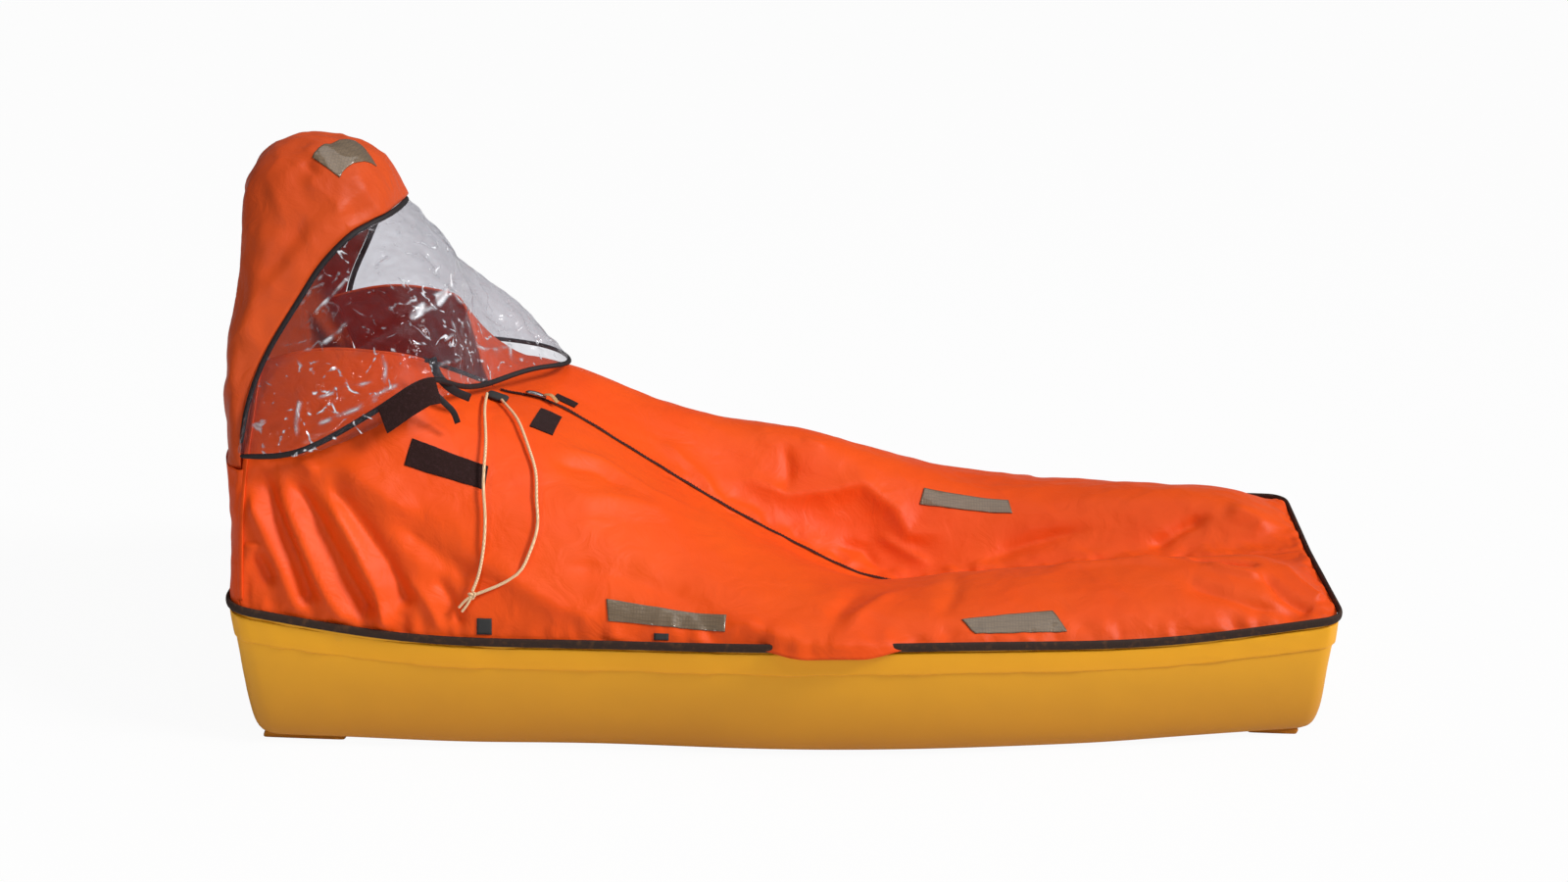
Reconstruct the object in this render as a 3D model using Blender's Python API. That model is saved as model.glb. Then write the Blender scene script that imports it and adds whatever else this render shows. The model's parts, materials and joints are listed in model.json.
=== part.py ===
"""A single-seat inflatable life raft with a zipped canopy, a hood and a clear visor, in metres.

+X runs to the foot end, -Y is the near (right-hand) side and +Z is up. The raft stands on its flat bottom.
"""

import math

import bmesh
import bpy
import numpy as np

# Driving dimensions
HULL_LENGTH = 1.83
GUNWALE_X = (-0.915, -0.61, -0.305, 0.0, 0.305, 0.61, 0.915)
GUNWALE_HALF_WIDTH = (0.410, 0.409, 0.402, 0.402, 0.376, 0.321, 0.259)
GUNWALE_HEIGHT = (0.261, 0.216, 0.212, 0.215, 0.217, 0.207, 0.228)
HEAD_BULGE = 0.012
FOOT_HOLLOW = 0.006
HEAD_CORNER = 0.055
FOOT_CORNER = 0.035
TUBE_WIDTH = 0.172
END_FLARE = 0.6
END_FLARE_X = (0.3, 0.9)
ROCKER_RISE = 0.008
SHIFT_X = 0.01634
GAP = 0.0004

CLOTH = 0.005
TRIM_HEIGHT = 0.014
TRIM_THICKNESS = 0.006
STRIP_HEIGHT = 0.040
STRIP_THICKNESS = 0.0015

NAPE_X = -0.948
NAPE_Z = 0.470
SEAM_X = -0.885
SEAM_GAP = 0.0015
EDGE_INSET = 0.0005
EDGE_LIFT = 0.0014
MIDDLE_GAP = 0.0003
ZIP_SEAT = 0.012
GATHER_X = -0.553

# Sections of the canopy at stations along X, as (distance from the centre plane, height) from the side to the top
TORSO = {
    -0.885: ((0.385, 0.330), (0.335, 0.450), (0.262, 0.545), (0.206, 0.608), (0.196, 0.613)),
    -0.800: ((0.388, 0.330), (0.345, 0.445), (0.275, 0.550), (0.202, 0.632), (0.192, 0.637)),
    -0.700: ((0.390, 0.320), (0.345, 0.435), (0.280, 0.545), (0.200, 0.630), (0.190, 0.635)),
    -0.620: ((0.388, 0.310), (0.335, 0.420), (0.262, 0.530), (0.165, 0.606), (0.155, 0.610)),
}
LEGS_NEAR = {
    -0.553: ((0.386, 0.290), (0.330, 0.405), (0.240, 0.500), (ZIP_SEAT, 0.518), (MIDDLE_GAP, 0.518)),
    -0.450: ((0.385, 0.280), (0.325, 0.378), (0.200, 0.470), (ZIP_SEAT, 0.488), (MIDDLE_GAP, 0.488)),
    -0.300: ((0.380, 0.265), (0.310, 0.337), (0.180, 0.398), (ZIP_SEAT, 0.398), (MIDDLE_GAP, 0.398)),
    -0.150: ((0.378, 0.250), (0.300, 0.292), (0.170, 0.325), (ZIP_SEAT, 0.303), (MIDDLE_GAP, 0.303)),
    0.000: ((0.375, 0.242), (0.295, 0.264), (0.160, 0.262), (ZIP_SEAT, 0.220), (MIDDLE_GAP, 0.220)),
    0.140: ((0.370, 0.240), (0.290, 0.252), (0.160, 0.229), (ZIP_SEAT, 0.157), (MIDDLE_GAP, 0.157)),
    0.300: ((0.350, 0.238), (0.270, 0.260), (0.160, 0.252), (ZIP_SEAT, 0.165), (MIDDLE_GAP, 0.165)),
    0.500: ((0.320, 0.233), (0.240, 0.263), (0.150, 0.267), (ZIP_SEAT, 0.189), (MIDDLE_GAP, 0.189)),
    0.700: ((0.285, 0.238), (0.210, 0.273), (0.140, 0.283), (ZIP_SEAT, 0.209), (MIDDLE_GAP, 0.209)),
    0.820: ((0.255, 0.244), (0.190, 0.272), (0.120, 0.276), (ZIP_SEAT, 0.224), (MIDDLE_GAP, 0.224)),
    0.902: ((0.232, 0.236), (0.180, 0.239), (0.110, 0.240), (ZIP_SEAT, 0.236), (MIDDLE_GAP, 0.236)),
}
LEGS_FAR = LEGS_NEAR | {
    -0.450: ((0.386, 0.285), (0.330, 0.392), (0.190, 0.500), (ZIP_SEAT, 0.488), (MIDDLE_GAP, 0.488)),
    -0.300: ((0.385, 0.272), (0.320, 0.352), (0.170, 0.440), (ZIP_SEAT, 0.398), (MIDDLE_GAP, 0.398)),
    -0.150: ((0.380, 0.265), (0.310, 0.338), (0.170, 0.390), (ZIP_SEAT, 0.303), (MIDDLE_GAP, 0.303)),
    0.000: ((0.375, 0.260), (0.300, 0.328), (0.170, 0.373), (ZIP_SEAT, 0.220), (MIDDLE_GAP, 0.220)),
    0.140: ((0.368, 0.255), (0.290, 0.300), (0.165, 0.320), (ZIP_SEAT, 0.157), (MIDDLE_GAP, 0.157)),
    0.300: ((0.350, 0.240), (0.270, 0.266), (0.160, 0.272), (ZIP_SEAT, 0.165), (MIDDLE_GAP, 0.165)),
}

# The hood's ribs, from the nape to the brim: the end on the arch (x, y, z) and the crown on the centre plane (x, z)
HOOD_RIBS = (
    ((-0.893, 0.318, 0.4706), (-0.948, 0.4706)),
    ((-0.893, 0.298, 0.5270), (-0.951, 0.545)),
    ((-0.890, 0.272, 0.5720), (-0.951, 0.620)),
    ((-0.872, 0.250, 0.6250), (-0.947, 0.695)),
    ((-0.843, 0.226, 0.6790), (-0.938, 0.765)),
    ((-0.812, 0.200, 0.7270), (-0.937, 0.830)),
    ((-0.784, 0.172, 0.7750), (-0.938, 0.895)),
    ((-0.742, 0.140, 0.8180), (-0.898, 0.945)),
    ((-0.722, 0.115, 0.8290), (-0.800, 0.957)),
    ((-0.708, 0.098, 0.8350), (-0.720, 0.922)),
    ((-0.700, 0.085, 0.8380), (-0.686, 0.842)),
)

# The visor's ribs from its near corner round the front to its far corner: how far along the arch each one starts,
# the points that it passes and where it ends on the hem
VISOR_RIBS = (
    (0.034, (-0.891, -0.324, 0.505), (-0.888, -0.331, 0.502), (-0.884, -0.339, 0.499)),
    (0.080, (-0.872, -0.310, 0.560), (-0.860, -0.332, 0.530), (-0.846, -0.346, 0.499)),
    (0.150, (-0.822, -0.303, 0.600), (-0.802, -0.332, 0.552), (-0.790, -0.347, 0.505)),
    (0.250, (-0.735, -0.268, 0.670), (-0.692, -0.300, 0.622), (-0.668, -0.318, 0.566)),
    (0.350, (-0.660, -0.200, 0.745), (-0.612, -0.245, 0.690), (-0.583, -0.270, 0.612)),
    (0.425, (-0.612, -0.100, 0.780), (-0.570, -0.130, 0.690), (-0.549, -0.180, 0.568)),
    (0.500, (-0.600, -0.010, 0.775), (-0.566, -0.030, 0.680), (-0.530, -0.060, 0.534)),
    (0.575, (-0.612, 0.050, 0.745), (-0.582, 0.060, 0.655), (-0.486, 0.020, 0.534)),
    (0.650, (-0.645, 0.150, 0.715), (-0.508, 0.120, 0.622), (-0.424, 0.125, 0.515)),
    (0.750, (-0.725, 0.252, 0.668), (-0.606, 0.270, 0.600), (-0.520, 0.285, 0.500)),
    (0.850, (-0.822, 0.300, 0.600), (-0.790, 0.332, 0.552), (-0.760, 0.352, 0.495)),
    (0.920, (-0.872, 0.310, 0.560), (-0.860, 0.332, 0.530), (-0.846, 0.346, 0.499)),
    (0.966, (-0.891, 0.324, 0.505), (-0.888, 0.331, 0.502), (-0.884, 0.339, 0.499)),
)
ARCH_TAPE = 0.009
HEM_TAPE = 0.007
TAPE_GAP = 0.0013
VISOR_FILM = 0.003

# The patch on the visor's near hem: which ribs it spans, then how far it runs below and above the hem
VISOR_PATCH_SPAN = (5.85, 8.75)
VISOR_PATCH_BELOW = 0.038
VISOR_PATCH_ABOVE = 0.006
VISOR_PATCH_LIFT = 0.0011
VISOR_PATCH_THICKNESS = 0.003

# The hood tape's corners as (rib, place round the rib): back near, front near, back far, front far
HOOD_TAPE = ((12.0, 3.6), (12.9, 2.1), (13.3, 7.6), (14.5, 6.2))
HOOD_TAPE_LIFT = 0.0017
HOOD_TAPE_THICKNESS = 0.002

# Flat pieces on the canopy: side, four corners as (x, fraction of the way up), lift, thickness and material
PILE = (0.003, "hook_and_loop")
REFLECTIVE = (0.002, "reflective_tape")
MID_TAPE = ((-0.288, 0.157), (-0.093, 0.128), (-0.093, 0.058), (-0.283, 0.080))
PATCHES = {
    "chest_patch": (-1, ((-0.616, 0.674), (-0.497, 0.528), (-0.497, 0.449), (-0.624, 0.584)), 0.0007, *PILE),
    "zip_tab_far": (1, ((-0.441, 0.958), (-0.404, 0.956), (-0.400, 0.918), (-0.437, 0.920)), 0.0017, *PILE),
    "zip_tab_near": (-1, ((-0.450, 0.925), (-0.414, 0.925), (-0.414, 0.765), (-0.452, 0.765)), 0.0005, *PILE),
    "tape_near_mid": (-1, MID_TAPE, 0.0005, *REFLECTIVE),
    "tape_far_mid": (1, MID_TAPE, 0.0005, *REFLECTIVE),
    "tape_near_foot": (-1, ((0.288, 0.124), (0.437, 0.169), (0.460, 0.060), (0.310, 0.050)), 0.0005, *REFLECTIVE),
    "tape_far_foot": (1, ((0.220, 0.665), (0.392, 0.660), (0.385, 0.580), (0.228, 0.584)), 0.0017, *REFLECTIVE),
    "cord_keeper": (-1, ((-0.543, 0.938), (-0.507, 0.938), (-0.507, 0.885), (-0.543, 0.885)), 0.0017, 0.007,
                    "black_webbing"),
}
OUTLINE_SAMPLES = 600
ZIP_LIFT = 0.0006
PATCH_STEP = 0.020

# The drawstring's two strands, from the keeper to the knot
CORD_RADIUS = 0.0026
STRANDS = {
    "drawstring_head_side": (
        (-0.538, -0.0685, 0.5215), (-0.527, -0.135, 0.520), (-0.504, -0.237, 0.491), (-0.497, -0.297, 0.443),
        (-0.489, -0.332, 0.396), (-0.489, -0.360, 0.351), (-0.496, -0.381, 0.312), (-0.50255, -0.3904, 0.29555),
    ),
    "drawstring_foot_side": (
        (-0.513, -0.0680, 0.5100), (-0.467, -0.146, 0.499), (-0.444, -0.193, 0.478), (-0.422, -0.239, 0.445),
        (-0.414, -0.279, 0.415), (-0.407, -0.319, 0.378), (-0.414, -0.348, 0.350), (-0.429, -0.370, 0.322),
        (-0.452, -0.380, 0.308), (-0.480, -0.388, 0.297), (-0.4963, -0.3913, 0.2912),
    ),
}
KNOT = (-0.503, -0.3922, 0.289)
KNOT_RADIUS = 0.0062
TAIL_END = (-0.518, -0.3990, 0.2625)

ZIP_START_X = -0.536
ZIP_END_X = 0.175
ZIP_WIDTH = 0.007
ZIP_THICKNESS = 0.0022
SLIDER_X = -0.478

# Dark webbing tabs that stand on the gunwale, and the pockets under its four corners
TAB_X = (-0.484, -0.196)
TAB_WIDTH = 0.024
TAB_HEIGHTS = (0.020, 0.010)
POCKETS = {
    "ballast_pocket_head": ((-0.884, -0.748), (0.272, 0.366)),
    "ballast_pocket_foot": ((0.788, 0.866), (0.150, 0.234)),
}
POCKET_THICKNESS = 0.0076

# The gas bottle across the head end, the mouth tube on the far side and the tow loop on the foot end
BOTTLE_Z = 0.098
BOTTLE_RADIUS = 0.0175
BOTTLE_HALF = 0.140
BAND_THICKNESS = 0.0026
BAND_WIDTH = 0.025
BAND_Y = 0.080
MOUTH_TUBE_X = (-0.560, -0.485)
MOUTH_TUBE_Z = 0.105
MOUTH_TUBE_RADIUS = 0.007
LOOP_Z = 0.125
LOOP_WIDTH = 0.025

COLOURS = {
    "yellow_coated_fabric": ((0.80, 0.36, 0.03), 0.45, 0.0),
    "yellow_strip": ((0.93, 0.42, 0.04), 0.5, 0.0),
    "orange_canopy_cloth": ((0.89, 0.11, 0.02), 0.6, 0.0),
    "dark_binding_tape": ((0.06, 0.025, 0.012), 0.8, 0.0),
    "hook_and_loop": ((0.05, 0.02, 0.02), 0.95, 0.0),
    "clear_visor_film": ((0.75, 0.72, 0.74), 0.1, 0.0),
    "reflective_tape": ((0.42, 0.36, 0.28), 0.35, 0.1),
    "cream_cord": ((0.85, 0.70, 0.52), 0.8, 0.0),
    "ballast_cloth": ((0.33, 0.12, 0.03), 0.8, 0.0),
    "zip_tape": ((0.10, 0.04, 0.02), 0.7, 0.0),
    "bare_metal": ((0.45, 0.45, 0.46), 0.3, 1.0),
    "black_webbing": ((0.03, 0.03, 0.03), 0.85, 0.0),
    "black_rubber": ((0.02, 0.02, 0.02), 0.6, 0.0),
}


def material(name):
    """The named material, made on first use."""
    found = bpy.data.materials.get(name)
    if found:
        return found
    colour, roughness, metallic = COLOURS[name]
    made = bpy.data.materials.new(name)
    made.use_nodes = True
    shader = made.node_tree.nodes["Principled BSDF"]
    shader.inputs["Base Color"].default_value = (*colour, 1.0)
    shader.inputs["Roughness"].default_value = roughness
    shader.inputs["Metallic"].default_value = metallic
    made.diffuse_color = (*colour, 1.0)
    return made


def smooth(knots, values, at):
    """Values read at new places from a smooth curve through the knots."""
    knots = np.asarray(knots, float)
    values = np.asarray(values, float)
    slopes = np.gradient(values, knots, axis=0)
    at = np.clip(np.atleast_1d(at), knots[0], knots[-1])
    i = np.clip(np.searchsorted(knots, at, side="right") - 1, 0, len(knots) - 2)
    width = knots[i + 1] - knots[i]
    f = (at - knots[i]) / width
    shape = (-1,) + (1,) * (values.ndim - 1)
    f, width = f.reshape(shape), width.reshape(shape)
    a = (2 * f**3 - 3 * f**2 + 1) * values[i] + (f**3 - 2 * f**2 + f) * width * slopes[i]
    b = (3 * f**2 - 2 * f**3) * values[i + 1] + (f**3 - f**2) * width * slopes[i + 1]
    return a + b


def lengths(points):
    """Distances along a line of points, from 0 to 1."""
    steps = np.linalg.norm(np.diff(points, axis=0), axis=1)
    along = np.concatenate([[0.0], np.cumsum(steps)])
    return along / along[-1]


def along_curve(points, at):
    """Points at these fractions of a smooth curve through the points given."""
    points = np.asarray(points, float)
    return smooth(lengths(points), points, at)


def add_object(name, points, faces, slot):
    """A mesh object that stands in the raft's frame."""
    mesh = bpy.data.meshes.new(name)
    mesh.from_pydata([tuple(p) for p in points], [], [tuple(int(i) for i in f) for f in faces])
    work = bmesh.new()
    work.from_mesh(mesh)
    bmesh.ops.recalc_face_normals(work, faces=work.faces)
    work.to_mesh(mesh)
    work.free()
    mesh.shade_smooth()
    mesh.set_sharp_from_angle(angle=math.radians(40))
    mesh.materials.append(material(slot))
    made = bpy.data.objects.new(name, mesh)
    bpy.context.scene.collection.objects.link(made)
    made.location.x = SHIFT_X
    return made


def grid_faces(rows, columns, wrap_rows=False, wrap_columns=False):
    """Quads over a grid of points, stored row by row."""
    return [
        (i * columns + j, i * columns + (j + 1) % columns,
         (i + 1) % rows * columns + (j + 1) % columns, (i + 1) % rows * columns + j)
        for i in range(rows if wrap_rows else rows - 1)
        for j in range(columns if wrap_columns else columns - 1)
    ]


def ring(name, grid, slot):
    """A closed ring: each row is a closed section, and the last row meets the first."""
    rows, columns = grid.shape[:2]
    return add_object(name, grid.reshape(-1, 3), grid_faces(rows, columns, True, True), slot)


def bar(name, grid, slot):
    """A closed bar: each row is a closed section, with a face over each end."""
    rows, columns = grid.shape[:2]
    faces = grid_faces(rows, columns, False, True)
    faces.append(tuple(range(columns))[::-1])
    faces.append(tuple((rows - 1) * columns + j for j in range(columns)))
    return add_object(name, grid.reshape(-1, 3), faces, slot)


def normals_of(grid):
    """The outward direction at each point of an open grid, which runs tail to head, then low to high."""
    across = np.gradient(grid, axis=0)
    up = np.gradient(grid, axis=1)
    out = np.cross(across, up)
    return out / np.linalg.norm(out, axis=2, keepdims=True)


def flattened(directions, axis):
    """Directions turned square to one axis."""
    flat = directions.copy()
    flat[..., axis] = 0
    return flat / np.linalg.norm(flat, axis=-1, keepdims=True)


def shell(name, grid, slot, thickness=CLOTH, inward=None):
    """A sheet with its outer face on the grid and the given thickness behind it."""
    rows, columns = grid.shape[:2]
    inward = -normals_of(grid) if inward is None else inward
    inner = grid + inward * thickness
    count = rows * columns
    outer = grid.reshape(-1, 3)
    faces = []
    for a, b, c, d in grid_faces(rows, columns):
        # both faces of the sheet are split along the same diagonal, so that they stay its thickness apart
        if np.linalg.norm(outer[a] - outer[c]) <= np.linalg.norm(outer[b] - outer[d]):
            faces += [(a, b, c), (a, c, d)]
        else:
            faces += [(a, b, d), (b, c, d)]
    back = [tuple(count + i for i in f[::-1]) for f in faces]
    edge = [i * columns for i in range(rows)]
    edge += [(rows - 1) * columns + j for j in range(1, columns)]
    edge += [i * columns + columns - 1 for i in range(rows - 2, -1, -1)]
    edge += list(range(columns - 2, 0, -1))
    rim = [(a, b, count + b, count + a) for a, b in zip(edge, edge[1:] + edge[:1])]
    points = np.concatenate([outer, inner.reshape(-1, 3)])
    return add_object(name, points, faces + back + rim, slot)


def gunwale_width(x):
    """Half the hull's width at the gunwale."""
    return smooth(GUNWALE_X, GUNWALE_HALF_WIDTH, x)


def gunwale_height(x):
    """Height of the gunwale."""
    return smooth(GUNWALE_X, GUNWALE_HEIGHT, x)


def near_half():
    """The gunwale's plan along the near side, from the middle of the head end to the middle of the foot end."""
    half = HULL_LENGTH / 2
    head_y = gunwale_width(-half)[0]
    foot_y = gunwale_width(half)[0]
    across = np.linspace(0, 1, 6)
    head = np.stack([-half - HEAD_BULGE * (1 - across**2), -across * (head_y - HEAD_CORNER)], axis=1)
    turn = np.linspace(0, 1, 7)[1:-1, None]
    start, end = head[-1], np.array([-half + HEAD_CORNER, -gunwale_width(-half + HEAD_CORNER)[0]])
    corner = np.array([-half, -head_y])
    head_turn = (1 - turn) ** 2 * start + 2 * turn * (1 - turn) * corner + turn**2 * end
    xs = np.linspace(-half + HEAD_CORNER, half - FOOT_CORNER, 17)
    side = np.stack([xs, -gunwale_width(xs)], axis=1)
    corner = np.array([half, -foot_y])
    end = np.array([half - FOOT_HOLLOW * 0.2, -(foot_y - FOOT_CORNER)])
    foot_turn = (1 - turn) ** 2 * side[-1] + 2 * turn * (1 - turn) * corner + turn**2 * end
    across = np.linspace(1, 0, 5)
    foot = np.stack([half - FOOT_HOLLOW * (1 - 0.8 * across), -across * (foot_y - FOOT_CORNER)], axis=1)
    return np.concatenate([head, head_turn, side, foot_turn, foot])


def edge_width(x):
    """Half the width of the gunwale's plan at x, with its rounded corners."""
    near = near_half()
    last = int(np.argmax(near[:, 0]))
    return float(np.interp(x, near[: last + 1, 0], -near[: last + 1, 1]))


def edge_height(x):
    """Height of the gunwale between the plan's own points."""
    near = near_half()
    last = int(np.argmax(near[:, 0]))
    xs = near[: last + 1, 0]
    return float(np.interp(x, xs, gunwale_height(xs)))


def foot_edge(y):
    """How far out the foot end's gunwale runs at this distance from the centre plane."""
    near = near_half()[-9:]
    return np.interp(np.abs(y), -near[::-1, 1], near[::-1, 0])


def gunwale_loop():
    """Points (x, y, z) round the gunwale with their outward normals and the matching points of the inner wall."""
    near = near_half()
    far = near[-2:0:-1] * (1, -1)
    plan = np.concatenate([near, far])
    step = np.roll(plan, -1, axis=0) - np.roll(plan, 1, axis=0)
    normal = np.stack([step[:, 1], -step[:, 0]], axis=1)
    normal /= np.linalg.norm(normal, axis=1, keepdims=True)
    half = HULL_LENGTH / 2
    shrink = (half - TUBE_WIDTH) / half
    inner_x = plan[:, 0] * shrink
    inner_y = plan[:, 1] * (1 - TUBE_WIDTH / gunwale_width(inner_x))
    return plan, normal, np.stack([inner_x, inner_y], axis=1), gunwale_height(plan[:, 0])


def bottom_rise(x):
    """How far the hull's bottom is above the floor: the ends rock up a little."""
    f = np.clip((np.abs(x) - 0.55) / 0.2, 0, 1)
    return ROCKER_RISE * f * f * (3 - 2 * f)


# The tube's section, as (fraction of the way to the inner wall, fraction of the height)
TUBE_SECTION = (
    (0.000, 1.000), (0.020, 0.830), (0.050, 0.610), (0.080, 0.390), (0.115, 0.190),
    (0.180, 0.060), (0.270, 0.000), (0.800, 0.000), (0.930, 0.030),
    (1.000, 0.120), (1.000, 0.440), (0.970, 0.640), (0.870, 0.790),
    (0.700, 0.875), (0.480, 0.925), (0.250, 0.965), (0.045, 1.000),
)


def hull_point(loop, fraction, height):
    """The ring of points at one place of the tube's section. The outer wall is steeper towards the ends."""
    plan, _, inner, top = loop
    fraction = np.full(len(plan), fraction) if np.isscalar(fraction) else fraction
    start, end = END_FLARE_X
    ends = np.clip((np.abs(plan[:, 0]) - start) / (end - start), 0, 1)
    kept = 1 - END_FLARE * ends * ends * (3 - 2 * ends) * (1 - fraction)
    spot = plan + (inner - plan) * (fraction * kept)[:, None]
    bulge = np.maximum(0, -HULL_LENGTH / 2 - plan[:, 0])
    spot[:, 0] += bulge * (1 - height) * (1 - fraction)
    low = bottom_rise(plan[:, 0])
    return np.column_stack([spot, low + (top - low) * height])


def build_hull():
    """The inflated tube, the floor between its sides and what is bonded on its outside."""
    loop = gunwale_loop()
    plan, normal, inner, top = loop
    section = [hull_point(loop, f, h) for f, h in TUBE_SECTION]
    ring("hull_tube", np.stack(section, axis=1), "yellow_coated_fabric")

    edge = inner * (1 - 0.0008)
    low = np.column_stack([edge, bottom_rise(plan[:, 0]) + 0.016])
    high = np.column_stack([edge, np.full(len(edge), 0.044)])
    points = np.concatenate([low, high])
    count = len(edge)
    faces = [(i, (i + 1) % count, count + (i + 1) % count, count + i) for i in range(count)]
    faces += [tuple(range(count))[::-1], tuple(range(count, 2 * count))]
    add_object("floor_panel", points, faces, "yellow_coated_fabric")

    def on_wall(height, out):
        fraction = np.interp(height, [h for _, h in TUBE_SECTION[3::-1]], [f for f, _ in TUBE_SECTION[3::-1]])
        spot = hull_point(loop, fraction, height)
        spot[:, :2] += normal * out
        return spot

    rail = 0.955
    foot = rail - STRIP_HEIGHT / 0.215
    strip = [on_wall(rail, GAP), on_wall(rail, GAP + STRIP_THICKNESS),
             on_wall((rail + foot) / 2, GAP + STRIP_THICKNESS), on_wall(foot, GAP + STRIP_THICKNESS),
             on_wall(foot, GAP), on_wall((rail + foot) / 2, GAP)]
    ring("attachment_strip", np.stack(strip, axis=1), "yellow_strip")

    trim = []
    for out, rise in ((GAP, -0.0045), (GAP, 0.0095), (TRIM_THICKNESS, 0.0095), (TRIM_THICKNESS, -0.0045)):
        trim.append(np.column_stack([plan + normal * out, top + rise]))
    ring("gunwale_trim", np.stack(trim, axis=1), "dark_binding_tape")


def panel(side):
    """Stations and sections of one side of the canopy; side is -1 for near and 1 for far."""
    sections = TORSO | (LEGS_NEAR if side < 0 else LEGS_FAR)
    stations = np.array(sorted(sections))
    table = np.array([sections[x] for x in stations])
    return stations, table


def canopy_outline(side, x):
    """Half a section of the canopy, as (distance from the centre plane, height) from the gunwale to the top."""
    stations, table = panel(side)
    shape = smooth(stations, table, x)[0]
    shape[-2:, 0] = np.maximum(shape[-2:, 0], (ZIP_SEAT, MIDDLE_GAP))
    return np.vstack([(edge_width(x) - EDGE_INSET, edge_height(x) + EDGE_LIFT), shape])


def canopy_point(side, x, t):
    """A point of the canopy's outer face, where t runs from 0 at the gunwale to 1 at the zip or the collar."""
    y, z = along_curve(canopy_outline(side, x), t)[0]
    return np.array([x, side * max(y, MIDDLE_GAP), z])


def onto_canopy(side, place):
    """The point of the canopy's outer face that is nearest to a place, in the section at that place's x."""
    row = along_curve(canopy_outline(side, place[0]), np.linspace(0, 1, OUTLINE_SAMPLES))
    y, z = row[np.argmin(np.hypot(row[:, 0] - abs(place[1]), row[:, 1] - place[2]))]
    return np.array([place[0], side * max(y, MIDDLE_GAP), z])


def canopy_row(side, x, count):
    """A station's points up to the zip's seat, and the last point beside the zip."""
    seat = lengths(canopy_outline(side, x))[-2]
    return [canopy_point(side, x, t) for t in (*np.linspace(0, seat, count - 1), 1.0)]


CANOPY_COLUMNS = 12
FOOT_X = 0.902
COLLAR_STATIONS = (-0.655, -0.620, -0.586, GATHER_X, -0.520)
MOST_STATION_STEP = 0.060


def canopy_stations():
    """Stations at each point of the gunwale's plan, with more between them where they are far apart."""
    plan = [round(float(x), 4) for x in near_half()[:, 0] if SEAM_X + 0.004 < x < FOOT_X - 0.004]
    fixed = sorted({SEAM_X, FOOT_X, *COLLAR_STATIONS, *plan})
    fixed = [b for a, b in zip([-9.0] + fixed, fixed) if b - a > 0.003]
    stations = []
    for a, b in zip(fixed, fixed[1:]):
        count = math.ceil((b - a) / MOST_STATION_STEP)
        stations += [a + (b - a) * k / count for k in range(count)]
    return stations + [fixed[-1]]


def build_canopy_side(name, side):
    """One side of the canopy, from the gunwale up to the collar and the zip."""
    grid = np.array([canopy_row(side, x, CANOPY_COLUMNS) for x in canopy_stations()])
    hem = grid[-1] * (1, 0.965, 1)
    hem[-1, 1] = grid[-1, -1, 1]
    hem[:, 0] = foot_edge(hem[:, 1]) - EDGE_INSET
    hem[:, 2] = gunwale_height(HULL_LENGTH / 2) + EDGE_LIFT
    grid = np.concatenate([grid, hem[None]])
    seam_end, foot_end = 0, -1
    if side > 0:
        grid = grid[::-1]
        seam_end, foot_end = -1, 0
    inward = -normals_of(grid)
    inward[seam_end] = flattened(inward[seam_end], 0)
    inward[foot_end] = (-1, 0, 0)
    inward[:, 0] = flattened(inward[:, 0], 2)
    zipped = grid[:, -1, 0] >= GATHER_X
    inward[zipped, -1] = flattened(inward[zipped, -1], 1)
    return shell(name, grid, "orange_canopy_cloth", inward=inward)


def build_canopy_back():
    """The back panel, from the head gunwale up to the nape."""
    plan, normal, _, top = gunwale_loop()
    base = np.column_stack([plan - normal * EDGE_INSET, top + EDGE_LIFT])
    near = near_half()
    count = int(np.argmax((near[:, 0] >= SEAM_X) & (near[:, 1] < -0.3)))
    base_line = np.vstack([base[1:count][::-1], base[:1], base[-1:-count:-1]])
    seam = np.array([canopy_point(-1, SEAM_X, t) for t in np.linspace(0, 1, 60)])
    upright = TRIM_HEIGHT
    foot_z = seam[0, 2] + upright
    levels = np.concatenate([[seam[0, 2]], np.linspace(foot_z, NAPE_Z, 7)])
    half = [(SEAM_X - SEAM_GAP, -0.335), (NAPE_X + 0.014, -0.285), (NAPE_X + 0.001, -0.235), (NAPE_X, -0.12)]
    upper = np.array(half + [(NAPE_X, 0)] + [(x, -y) for x, y in half[::-1]])
    top_row = along_curve(upper, lengths(base_line))
    rows = []
    for level in levels:
        rise = max(0.0, (level - foot_z) / (NAPE_Z - foot_z))
        plan_row = base_line[:, :2] * (1 - rise) + top_row * rise
        low = base_line[:, 2] + min(level - seam[0, 2], upright)
        row = np.column_stack([plan_row, low * (1 - rise) + NAPE_Z * rise])
        edge = np.array([np.interp(row[0, 2], seam[:, 2], seam[:, axis]) for axis in range(3)])
        edge[0] -= SEAM_GAP
        row[0] = edge
        row[-1] = edge * (1, -1, 1)
        rows.append(row)
    grid = np.array(rows)
    inward = -normals_of(grid)
    for end in (0, -1):
        inward[:, end] = flattened(inward[:, end], 0)
        inward[end] = flattened(inward[end], 2)
    return shell("canopy_back", grid, "orange_canopy_cloth", inward=inward)


HOOD_ROWS = 17
HOOD_COLUMNS = 15
VISOR_ROWS = 27


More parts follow.
